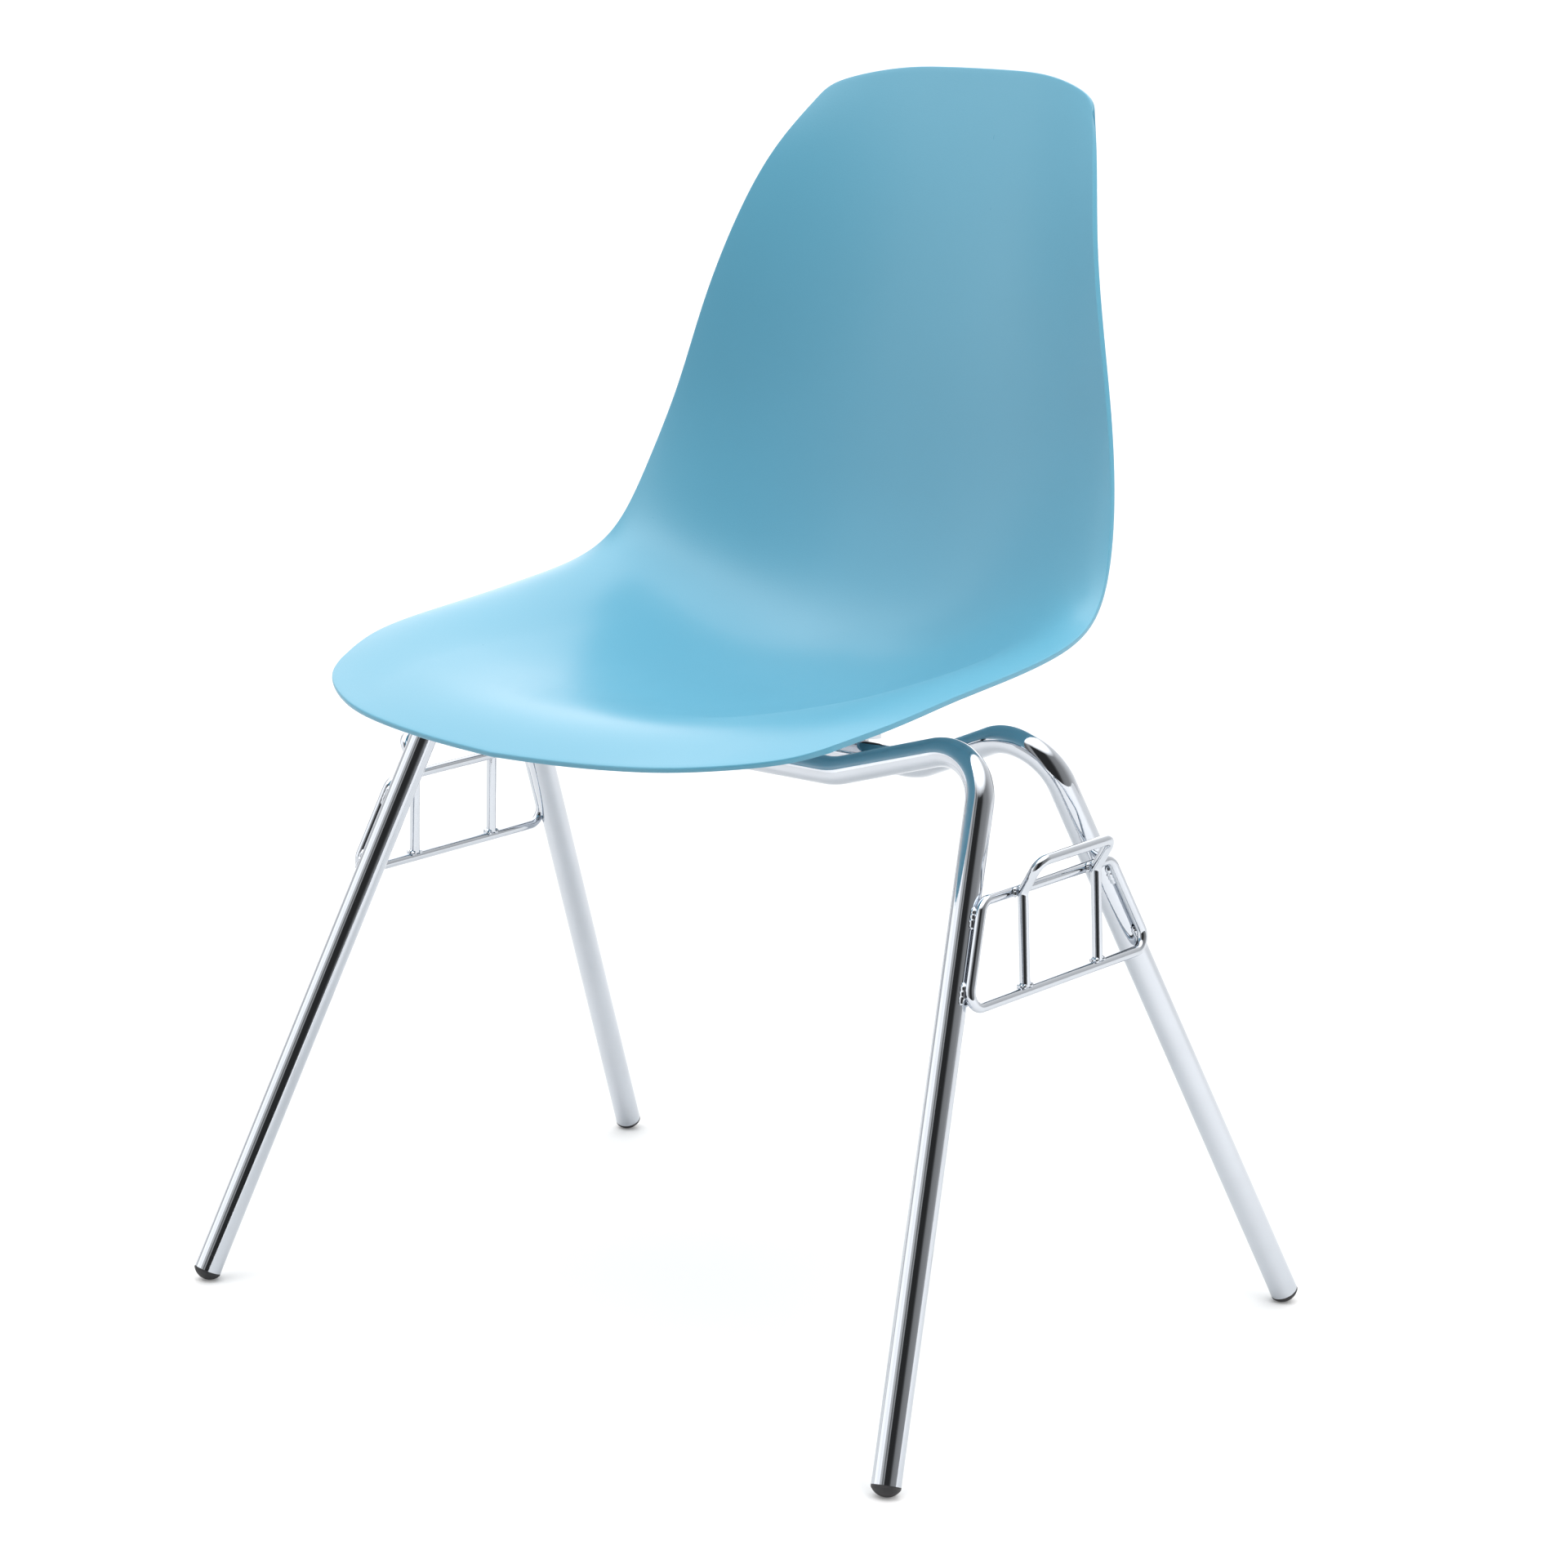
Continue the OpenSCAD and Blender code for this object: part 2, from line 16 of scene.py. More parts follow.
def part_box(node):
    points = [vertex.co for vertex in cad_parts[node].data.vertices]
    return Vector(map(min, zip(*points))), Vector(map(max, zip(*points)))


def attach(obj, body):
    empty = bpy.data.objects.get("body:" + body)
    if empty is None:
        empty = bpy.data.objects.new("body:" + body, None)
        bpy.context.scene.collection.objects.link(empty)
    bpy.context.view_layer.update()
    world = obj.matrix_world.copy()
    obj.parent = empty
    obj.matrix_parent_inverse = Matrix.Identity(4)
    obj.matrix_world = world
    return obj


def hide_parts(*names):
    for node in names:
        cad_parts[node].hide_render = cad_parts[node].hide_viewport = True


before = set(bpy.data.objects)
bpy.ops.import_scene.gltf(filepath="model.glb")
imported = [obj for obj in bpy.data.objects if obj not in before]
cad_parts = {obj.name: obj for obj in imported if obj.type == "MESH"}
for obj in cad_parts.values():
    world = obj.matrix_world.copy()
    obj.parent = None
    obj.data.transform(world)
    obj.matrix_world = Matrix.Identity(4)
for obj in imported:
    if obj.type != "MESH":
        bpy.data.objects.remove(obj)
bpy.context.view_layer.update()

bl_info = {
    "name": "Stacking Chair",
    "version": (1, 0, 0),
    "blender": (4, 5, 0),
    "location": "View3D > Sidebar > Chair",
    "description": "Builds a stacking side chair over its packed solids",
    "category": "Object",
}

LEFT, RIGHT = -1, 1
FRONT, REAR = -1, 1
SIDES = ((LEFT, "left"), (RIGHT, "right"))
ENDS = ((FRONT, "front"), (REAR, "rear"))
MM = 0.001

# ---------- places that come from the solids ----------


def span(node, axis):
    """Lowest and highest coordinate of a solid along one axis, in metres."""
    low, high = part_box(node)
    return low[axis], high[axis]


LEGS_Y = (span("front_leg_hoop", 1)[0] + span("rear_leg_hoop", 1)[1]) / 2
SHELL_WIDTH = span("seat_shell", 0)[1] - span("seat_shell", 0)[0]
SHELL_TOP = span("seat_shell", 2)[1]

# ---------- sizes and colours that a user would change ----------


def metres(name, description, default, low, high):
    return FloatProperty(
        name=name,
        description=description,
        default=default,
        min=low,
        max=high,
        unit="LENGTH",
        precision=4,
    )


def colour(name, description, default):
    return FloatVectorProperty(
        name=name,
        description=description,
        default=default,
        min=0.0,
        max=1.0,
        size=3,
        subtype="COLOR",
    )


class ShellSizes(bpy.types.PropertyGroup):
    """Sizes of the moulded seat shell"""

    thickness: metres("Wall", "Thickness of the moulding", 0.004, 0.002, 0.008)
    edge_round: metres("Edge rounding", "Radius of the rim's rounded edges", 0.0014, 0.0005, 0.002)
    seat_height: metres("Seat height", "Height of the front edge", 0.429, 0.3, 0.6)
    columns: IntProperty(
        name="Columns", description="Divisions from side to side", default=132, min=20, max=300
    )
    rows: IntProperty(
        name="Rows", description="Divisions from front to top", default=190, min=20, max=400
    )


class TubeSizes(bpy.types.PropertyGroup):
    """Sizes of the leg hoops"""

    diameter: metres("Tube", "Outside diameter of the leg tube", 0.019, 0.01, 0.03)
    wall: metres("Tube wall", "Wall thickness of the leg tube", 0.0015, 0.0005, 0.003)
    feet_width: metres("Feet width", "Between the feet, side to side", 0.607, 0.4, 0.8)
    feet_depth: metres("Feet depth", "Between the feet, front to back", 0.440, 0.3, 0.6)
    shoulder_width: metres("Shoulders", "Between the shoulder corners", 0.465, 0.3, 0.6)
    front_rise: metres("Front rise", "Front shoulder above its seat tube", 0.033, 0.01, 0.06)
    rear_rise: metres("Rear rise", "Rear shoulder above its seat tube", 0.047, 0.01, 0.08)
    shoulder_bend: metres("Shoulder bend", "Bend radius of the shoulders", 0.035, 0.02, 0.06)
    kink_width: metres("Kinks", "Between the kinks of the seat tube", 0.240, 0.1, 0.3)
    kink_bend: metres("Kink bend", "Bend radius of the kinks", 0.045, 0.02, 0.08)
    front_axis: metres("Front tube height", "Axis of the front seat tube", 0.398, 0.3, 0.5)
    rear_axis: metres("Rear tube height", "Axis of the rear seat tube", 0.386, 0.3, 0.5)
    seat_gap: metres("Seat tubes", "Between the two seat tubes", 0.089, 0.05, 0.15)
    dome: metres("Foot dome", "Radius of the foot's dome", 0.011, 0.008, 0.02)
    rim: metres("Foot rim", "Rim between the tube's end and the dome", 0.0015, 0.0, 0.004)


class WireSizes(bpy.types.PropertyGroup):
    """Sizes of the link frames and hooks"""

    diameter: metres("Wire", "Diameter of the wire", 0.007, 0.004, 0.01)
    low: metres("Lower wire", "Height of the lower wire", 0.276, 0.2, 0.3)
    high: metres("Upper wire", "Height of the upper wire", 0.340, 0.3, 0.4)
    corner: metres("Frame corner", "Corner radius of the frame", 0.010, 0.006, 0.02)
    hook_width: metres("Hook width", "Between the hook's uprights", 0.079, 0.05, 0.12)
    hook_reach: metres("Hook reach", "How far the hook stands out", 0.024, 0.01, 0.04)
    hook_rise: metres("Hook rise", "Hook bar above the upper wire", 0.019, 0.01, 0.04)
    hook_bend: metres("Hook bend", "Bend radius of the hook", 0.008, 0.005, 0.015)
    weld: metres("Weld", "Size of a weld bead", 0.0022, 0.001, 0.004)


class FinishColours(bpy.types.PropertyGroup):
    """Colours of the finishes"""

    shell: colour("Shell", "Moulded plastic of the seat", (0.098, 0.312, 0.430))
    chrome: colour("Chrome", "Bright plating", (0.60, 0.63, 0.675))
    steel: colour("Steel", "Zinc plated fastenings", (0.50, 0.51, 0.52))
    rubber: colour("Rubber", "Mounts under the seat", (0.012, 0.012, 0.013))
    foot: colour("Foot", "Plug feet", (0.012, 0.012, 0.014))


class StudioLook(bpy.types.PropertyGroup):
    """Floor and light"""

    floor: colour("Floor", "Pale floor", (0.66, 0.66, 0.66))
    room: FloatProperty(
        name="Room light", description="Strength of the light tent", default=1.0, min=0, max=5
    )
    key: FloatProperty(
        name="Key light", description="Power of the key light", default=12.0, min=0, max=500,
        subtype="POWER",
    )
    side: FloatProperty(
        name="Side light", description="Power of the light from the right", default=45.0,
        min=0, max=500, subtype="POWER",
    )
    lens: FloatProperty(
        name="Lens", description="Focal length of the camera", default=97.09, min=20, max=300,
        unit="CAMERA",
    )


GROUPS = (
    ("chair_shell", ShellSizes),
    ("chair_tube", TubeSizes),
    ("chair_wire", WireSizes),
    ("chair_colour", FinishColours),
    ("chair_studio", StudioLook),
)

# ---------- mesh helpers ----------

# A straight of tube or wire is drawn in stretches no longer than this.
LONGEST_STRETCH = 12 * MM
# An edge that turns by more than this is drawn as a hard edge.
HARD_EDGE = math.radians(42)
# The cap of a cut bar: its inner ring and its crown, as shares of the bar's radius.
CAP_RING, CAP_CROWN = 0.55, 0.12
# How far the inside of a tube is drawn in from its end.
TUBE_MOUTH = 4 * MM
# A bar that starts closer to upright than this takes another helper axis.
NEARLY_UPRIGHT = 0.9


def new_piece(name, points, faces, material, replaced=()):
    """A smooth mesh object from lists of points and faces, riding on the chair's one body."""
    mesh = bpy.data.meshes.new(name)
    mesh.from_pydata([tuple(p) for p in points], [], faces)
    mesh.validate()
    mesh.materials.append(material)
    mesh.shade_smooth()
    mesh.set_sharp_from_angle(angle=HARD_EDGE)
    piece = bpy.data.objects.new(name, mesh)
    bpy.context.scene.collection.objects.link(piece)
    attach(piece, "root")
    if replaced:
        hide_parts(*replaced)
    return piece


def unit(v):
    return v / np.linalg.norm(v)


def rounded_path(corners, radii, steps, closed=False):
    """Points along straight lines through the corners, with an arc at each corner."""
    corners = [np.array(c, float) for c in corners]
    count = len(corners)
    path = []
    for i, corner in enumerate(corners):
        if not closed and i in (0, count - 1):
            path.append(corner)
            continue
        to_last = unit(corners[i - 1] - corner)
        to_next = unit(corners[(i + 1) % count] - corner)
        half = math.acos(float(to_last @ to_next)) / 2
        centre = corner + unit(to_last + to_next) * radii[i] / math.sin(half)
        start = corner + to_last * radii[i] / math.tan(half) - centre
        side = corner + to_next * radii[i] / math.tan(half) - centre
        turn = math.pi - 2 * half
        across = unit(side - start * math.cos(turn))
        for k in range(steps + 1):
            a = turn * k / steps
            path.append(centre + start * math.cos(a) + across * radii[i] * math.sin(a))
    return divided(path, closed)


def divided(path, closed):
    """The same path with its long straights cut into short stretches."""
    fine = []
    count = len(path)
    for i, p in enumerate(path):
        fine.append(p)
        if i == count - 1 and not closed:
            break
        step = path[(i + 1) % count] - p
        cuts = int(np.linalg.norm(step) / LONGEST_STRETCH)
        fine.extend(p + step * (k / (cuts + 1)) for k in range(1, cuts + 1))
    return fine


def sweep(path, radius, segments, closed=False, inner=0.0):
    """A round bar along a path. Open ends are closed by a ring down to the inner radius,
    or by a slightly crowned cap where there is none."""
    path = [np.array(p, float) for p in path]
    count = len(path)
    points, faces = [], []
    tangents = []
    for i in range(count):
        before = path[i - 1] if (i > 0 or closed) else path[i]
        after = path[(i + 1) % count] if (i < count - 1 or closed) else path[i]
        tangents.append(unit(after - before))
    upright = abs(tangents[0][2]) >= NEARLY_UPRIGHT
    helper = np.array([0, 1.0, 0]) if upright else np.array([0, 0, 1.0])
    u = unit(np.cross(helper, tangents[0]))
    for p, w in zip(path, tangents):
        u = unit(u - w * float(u @ w))
        v = np.cross(w, u)
        for k in range(segments):
            a = 2 * math.pi * k / segments
            points.append(p + radius * (u * math.cos(a) + v * math.sin(a)))
    rings = count if closed else count - 1
    for i in range(rings):
        a, b = i * segments, ((i + 1) % count) * segments
        for k in range(segments):
            n = (k + 1) % segments
            faces.append((a + k, a + n, b + n, b + k))
    if not closed:
        for end, sign in ((0, -1), (count - 1, 1)):
            base = end * segments
            first = len(points)
            for k in range(segments):
                out = points[base + k] - path[end]
                points.append(path[end] + out * (inner / radius if inner else CAP_RING)
                              + tangents[end] * sign * (0 if inner else CAP_CROWN * radius))
            for k in range(segments):
                n = (k + 1) % segments
                quad = (base + k, base + n, first + n, first + k)
                faces.append(quad if sign > 0 else quad[::-1])
            if inner:
                deep = len(points)
                for k in range(segments):
                    points.append(points[first + k] - tangents[end] * sign * TUBE_MOUTH)
                for k in range(segments):
                    n = (k + 1) % segments
                    quad = (first + k, first + n, deep + n, deep + k)
                    faces.append(quad if sign > 0 else quad[::-1])
            else:
                ring = tuple(range(first, first + segments))
                faces.append(ring if sign > 0 else ring[::-1])
    return points, faces


def joined(parts):
    """Several lists of points and faces as one."""
    points, faces = [], []
    for some, theirs in parts:
        shift = len(points)
        points.extend(some)
        faces.extend(tuple(i + shift for i in f) for f in theirs)
    return points, faces


# ---------- shader groups ----------


def make_group(name, inputs, outputs):
    """An empty shader group with float inputs given as (name, default) and named outputs."""
    group = bpy.data.node_groups.new(name, "ShaderNodeTree")
    for label, default in inputs:
        socket = group.interface.new_socket(label, in_out="INPUT", socket_type="NodeSocketFloat")
        socket.default_value = default
    for label in outputs:
        group.interface.new_socket(label, in_out="OUTPUT", socket_type="NodeSocketFloat")
    start = group.nodes.new("NodeGroupInput")
    end = group.nodes.new("NodeGroupOutput")
    return group, start, end


def add_node(tree, kind, inputs=None, **settings):
    """A node with settings and inputs. An input is a value or an output socket."""
    node = tree.nodes.new(kind)
    for key, value in settings.items():
        setattr(node, key, value)
    for key, value in (inputs or {}).items():
        if isinstance(value, bpy.types.NodeSocket):
            tree.links.new(value, node.inputs[key])
        else:
            node.inputs[key].default_value = value
    return node


def place(tree):
    """Where a point of the surface is, in metres, in the chair's frame."""
    return add_node(tree, "ShaderNodeTexCoord").outputs["Object"]


def noise(tree, vector, scale, detail=2.0, rough=0.5):
    node = add_node(
        tree, "ShaderNodeTexNoise",
        {"Vector": vector, "Scale": scale, "Detail": detail, "Roughness": rough},
    )
    return node.outputs["Fac"]


def mapped(tree, value, low, high, to_low=0.0, to_high=1.0):
    node = add_node(
        tree, "ShaderNodeMapRange",
        {"Value": value, "From Min": low, "From Max": high, "To Min": to_low, "To Max": to_high},
    )
    return node.outputs["Result"]


def maths(tree, kind, a, b=0.0):
    node = add_node(tree, "ShaderNodeMath", {0: a, 1: b}, operation=kind)
    return node.outputs[0]


def grain_group():
    """Moulded grain: a fine dimpled height with a slower swell under it."""
    group, start, end = make_group(
        "Moulded grain", (("Size", 900.0), ("Swell", 35.0)), ("Height", "Mottle")
    )
    spot = place(group)
    fine = noise(group, spot, start.outputs["Size"], 3.0, 0.6)
    slow = noise(group, spot, start.outputs["Swell"], 2.0, 0.5)
    height = maths(group, "ADD", fine, maths(group, "MULTIPLY", slow, 0.35))
    group.links.new(height, end.inputs["Height"])
    group.links.new(slow, end.inputs["Mottle"])
    return group


def scuff_group():
    """Handling marks: thin broken streaks and soft rubbed patches, as masks from 0 to 1."""
    group, start, end = make_group(
        "Handling marks", (("Streaks", 60.0), ("Patches", 9.0)), ("Streak", "Patch")
    )
    spot = place(group)
    stretched = add_node(
        group, "ShaderNodeMapping", {"Vector": spot, "Scale": (1.0, 1.0, 0.08),
                                     "Rotation": (0.2, 0.35, 0.1)}
    ).outputs["Vector"]
    streak = mapped(group, noise(group, stretched, start.outputs["Streaks"], 4.0, 0.7), 0.58, 0.72)
    patch = mapped(group, noise(group, spot, start.outputs["Patches"], 3.0, 0.55), 0.42, 0.68)
    group.links.new(maths(group, "MULTIPLY", streak, patch), end.inputs["Streak"])
    group.links.new(patch, end.inputs["Patch"])
    return group


def wear_group():
    """Edge wear: 1 on sharp outer edges, broken up by noise, and 0 on open surface."""
    group, start, end = make_group("Edge wear", (("Low", 0.52), ("High", 0.60)), ("Wear",))
    point = add_node(group, "ShaderNodeNewGeometry").outputs["Pointiness"]
    edge = add_node(
        group, "ShaderNodeMapRange",
        {"Value": point, "From Min": start.outputs["Low"], "From Max": start.outputs["High"]},
    ).outputs["Result"]
    broken = mapped(group, noise(group, place(group), 160.0, 4.0, 0.6), 0.35, 0.7)
    group.links.new(maths(group, "MULTIPLY", edge, broken), end.inputs["Wear"])
    return group


def dust_group():
    """Dust: settles on faces that look up and near the floor, in soft patches."""
    group, start, end = make_group("Dust", (("Amount", 0.5), ("Floor reach", 0.05)), ("Dust",))
    geometry = add_node(group, "ShaderNodeNewGeometry")
    facing = add_node(group, "ShaderNodeSeparateXYZ", {0: geometry.outputs["Normal"]}).outputs["Z"]
    spot = place(group)
    height = add_node(group, "ShaderNodeSeparateXYZ", {0: spot}).outputs["Z"]
    low = add_node(
        group, "ShaderNodeMapRange",
        {"Value": height, "From Min": start.outputs["Floor reach"], "From Max": 0.0},
    ).outputs["Result"]
    settled = maths(group, "MAXIMUM", mapped(group, facing, 0.3, 1.0), low)
    patch = mapped(group, noise(group, spot, 55.0, 5.0, 0.65), 0.35, 0.75)
    dust = maths(group, "MULTIPLY", maths(group, "MULTIPLY", settled, patch),
                 start.outputs["Amount"])
    group.links.new(dust, end.inputs["Dust"])
    return group


GROUP_MAKERS = {
    "Moulded grain": grain_group,
    "Handling marks": scuff_group,
    "Edge wear": wear_group,
    "Dust": dust_group,
}


def effect(tree, name, **inputs):
    """One of the shared effects, placed in a material with its own values."""
    group = bpy.data.node_groups.get(name) or GROUP_MAKERS[name]()
    node = tree.nodes.new("ShaderNodeGroup")
    node.node_tree = group
    for key, value in inputs.items():
        node.inputs[key.replace("_", " ")].default_value = value
    return node.outputs


# ---------- materials ----------


def blank_material(name, **settings):
    """A material with a Principled shader, and settings for its own sockets."""
    material = bpy.data.materials.new(name)
    material.use_nodes = True
    tree = material.node_tree
    shader = tree.nodes["Principled BSDF"]
    for key, value in settings.items():
        shader.inputs[key.replace("_", " ")].default_value = value
    return material, tree, shader


def tinted(tree, factor, dark, light):
    """A mix of two colours by a factor that runs from 0 to 1."""
    node = add_node(tree, "ShaderNodeMix", data_type="RGBA")
    colours = [s for s in node.inputs if s.type == "RGBA"]
    colours[0].default_value = (*dark, 1.0)
    colours[1].default_value = (*light, 1.0)
    tree.links.new(factor, node.inputs[0])
    return next(s for s in node.outputs if s.type == "RGBA")


def bumped(tree, shader, height, strength, distance):
    bump = add_node(
        tree, "ShaderNodeBump", {"Height": height, "Strength": strength, "Distance": distance}
    )
    tree.links.new(bump.outputs["Normal"], shader.inputs["Normal"])


def scaled(tint, factor):
    """A colour made darker or lighter."""
    return tuple(min(1.0, c * factor) for c in tint)


def shell_material():
    tint = tuple(bpy.context.scene.chair_colour.shell)
    material, tree, shader = blank_material(
        "Sky blue moulded plastic", Specular_IOR_Level=0.5, IOR=1.5, Coat_Weight=0.0
    )
    grain = effect(tree, "Moulded grain", Size=950.0, Swell=7.0)
    marks = effect(tree, "Handling marks", Streaks=110.0, Patches=6.0)
    wear = effect(tree, "Edge wear", Low=0.53, High=0.62)
    base = tinted(tree, grain["Mottle"], scaled(tint, 0.965), scaled(tint, 1.035))
    worn = add_node(tree, "ShaderNodeMix", data_type="RGBA")
    rgba = [s for s in worn.inputs if s.type == "RGBA"]
    tree.links.new(maths(tree, "MULTIPLY", wear["Wear"], 0.35), worn.inputs[0])
    tree.links.new(base, rgba[0])
    rgba[1].default_value = (*scaled(tint, 1.5), 1.0)
    tree.links.new(
        next(s for s in worn.outputs if s.type == "RGBA"), shader.inputs["Base Color"]
    )
    rough = maths(tree, "ADD", mapped(tree, marks["Patch"], 0, 1, 0.28, 0.33),
                  maths(tree, "MULTIPLY", marks["Streak"], -0.06))
    tree.links.new(rough, shader.inputs["Roughness"])
    bumped(tree, shader, grain["Height"], 0.10, 0.0006)
    return material


CHROME_ROUGHNESS = 0.045


def chrome_material(name, smear):
    """Bright plating. The smear is how much rougher a rubbed patch is."""
    tint = tuple(bpy.context.scene.chair_colour.chrome)
    material, tree, shader = blank_material(name, Metallic=1.0)
    marks = effect(tree, "Handling marks", Streaks=240.0, Patches=22.0)
    dust = effect(tree, "Dust", Amount=0.10, Floor_reach=0.06)
    base = tinted(tree, marks["Patch"], tint, scaled(tint, 0.965))
    tree.links.new(base, shader.inputs["Base Color"])
    rough = maths(tree, "ADD",
                  mapped(tree, marks["Patch"], 0, 1, CHROME_ROUGHNESS, CHROME_ROUGHNESS + smear),
                  maths(tree, "ADD", maths(tree, "MULTIPLY", marks["Streak"], 0.05),
                        dust["Dust"]))
    tree.links.new(rough, shader.inputs["Roughness"])
    grain = effect(tree, "Moulded grain", Size=420.0, Swell=60.0)
    bumped(tree, shader, grain["Height"], 0.03, 0.0003)
    return material


def steel_material(name, factor):
    """Zinc plated steel, darker or lighter by a factor."""
    tint = scaled(tuple(bpy.context.scene.chair_colour.steel), factor)
    material, tree, shader = blank_material(name, Metallic=1.0)
    marks = effect(tree, "Handling marks", Streaks=500.0, Patches=90.0)
    wear = effect(tree, "Edge wear", Low=0.52, High=0.60)
    base = tinted(tree, marks["Patch"], scaled(tint, 0.85), scaled(tint, 1.12))
    tree.links.new(base, shader.inputs["Base Color"])
    rough = maths(tree, "ADD", mapped(tree, marks["Streak"], 0, 1, 0.26, 0.40),
                  maths(tree, "MULTIPLY", wear["Wear"], -0.08))
    tree.links.new(rough, shader.inputs["Roughness"])
    grain = effect(tree, "Moulded grain", Size=1400.0, Swell=150.0)
    bumped(tree, shader, grain["Height"], 0.08, 0.0003)
    return material


# The grey that dust and worn edges turn black rubber and plastic into.
DUSTY_GREY = (0.16, 0.15, 0.14)


def black_material(name, tint, grain_size, dusty):
    """Black rubber or plastic with moulded grain and some dust."""
    material, tree, shader = blank_material(name)
    grain = effect(tree, "Moulded grain", Size=grain_size, Swell=120.0)
    dust = effect(tree, "Dust", Amount=dusty, Floor_reach=0.02)
    wear = effect(tree, "Edge wear", Low=0.52, High=0.6)
    base = tinted(tree, maths(tree, "MAXIMUM", dust["Dust"],
                              maths(tree, "MULTIPLY", wear["Wear"], 0.25)),
                  tint, DUSTY_GREY)
    tree.links.new(base, shader.inputs["Base Color"])
    rough = mapped(tree, grain["Mottle"], 0.3, 0.7, 0.48, 0.66)
    tree.links.new(rough, shader.inputs["Roughness"])
    bumped(tree, shader, grain["Height"], 0.25, 0.0004)
    return material


MATERIAL_MAKERS = {
    "shell": shell_material,
    "leg": lambda: chrome_material("Bright plated tube", 0.03),
    "wire": lambda: chrome_material("Bright plated wire", 0.05),
    "weld": lambda: chrome_material("Plated weld", 0.22),
    "screw": lambda: steel_material("Zinc plated screw", 1.0),
    "washer": lambda: steel_material("Zinc plated washer", 1.1),
    "insert": lambda: steel_material("Zinc plated insert", 0.9),
    "rubber": lambda: black_material(
        "Mount rubber", tuple(bpy.context.scene.chair_colour.rubber), 700.0, 0.5
    ),
    "foot": lambda: black_material(
        "Foot plastic", tuple(bpy.context.scene.chair_colour.foot), 1100.0, 0.12
    ),
}
made_materials = {}


def finish_of(key):
    """The material of a finish, made once."""
    if key not in made_materials:
        made_materials[key] = MATERIAL_MAKERS[key]()
    return made_materials[key]


def refinish(node, key):
    """Gives a packed solid a finer finish in its own material slots."""
    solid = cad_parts[node]
    if not solid.material_slots:
        raise RuntimeError(f"{node} has no material slot")
    for holder in solid.material_slots:
        holder.material = finish_of(key)


# ---------- the shell's surface ----------

# Stations in millimetres, with z from the seat's front edge, as in the solid.
RIM_LINE = (
    (212, -177, 20), (230, -131, 30), (228, -71, 36), (228, -24, 39), (228, 27, 44),
    (223, 76, 51), (215, 109, 70), (205, 131, 119), (190, 147, 172), (176, 155, 229),
    (158, 169, 288), (141, 192, 341), (119, 221, 378),
)
MIDDLE_LINE = (
    (0, -255, 0), (0, -202, 19), (0, -136, 9), (0, -73, -6), (0, -3, -15),
    (0, 72, -19), (0, 138, 8), (0, 167, 70), (0, 182, 136), (0, 194, 204),
    (0, 209, 274), (0, 228, 340), (0, 252, 400),
)
FRONT_LINE = (
    (0, -255, 0), (52, -252, 1), (104, -246, 4), (148, -237, 8), (200, -203, 14),
    (212, -177, 20),
)
TOP_LINE = ((0, 252, 400), (32, 251, 400), (67, 246, 399), (112, 229, 389), (119, 221, 378))
# How a section climbs from the middle to the rim: the powers for the seat and for the back.
SEAT_SHAPE = (2.8, 2.6)
BACK_SHAPE = (2.1, 1.15)
# The share of the way up where the seat's sections turn into the back's.
BLEND = (0.35, 0.70)
# How far the front and top edges pull the sections towards themselves.
END_REACH = 0.30
# The seat's rolled lip: the share of the half width where it starts, its height, and the
# factor that brings the peak of w * w * (1 - w) up to one.
LIP_FROM = 0.66
LIP_CREST = 3.5 * MM
CREST_GAIN = 27 / 4
# Small steps in u and t over which a normal is measured.
NORMAL_STEP = (0.01, 0.004)
# How strongly the columns draw together at the sides and the rows at the ends.
COLUMN_BUNCH, ROW_BUNCH = 0.03, 0.015
# Points on a quarter of the rounded edge, and its longest reach in edge radii.
EDGE_STEPS, EDGE_REACH = 6, 1.5


def ease(f):
    """A smooth step from 0 to 1."""
    f = np.clip(f, 0.0, 1.0)
    return f * f * (3 - 2 * f)


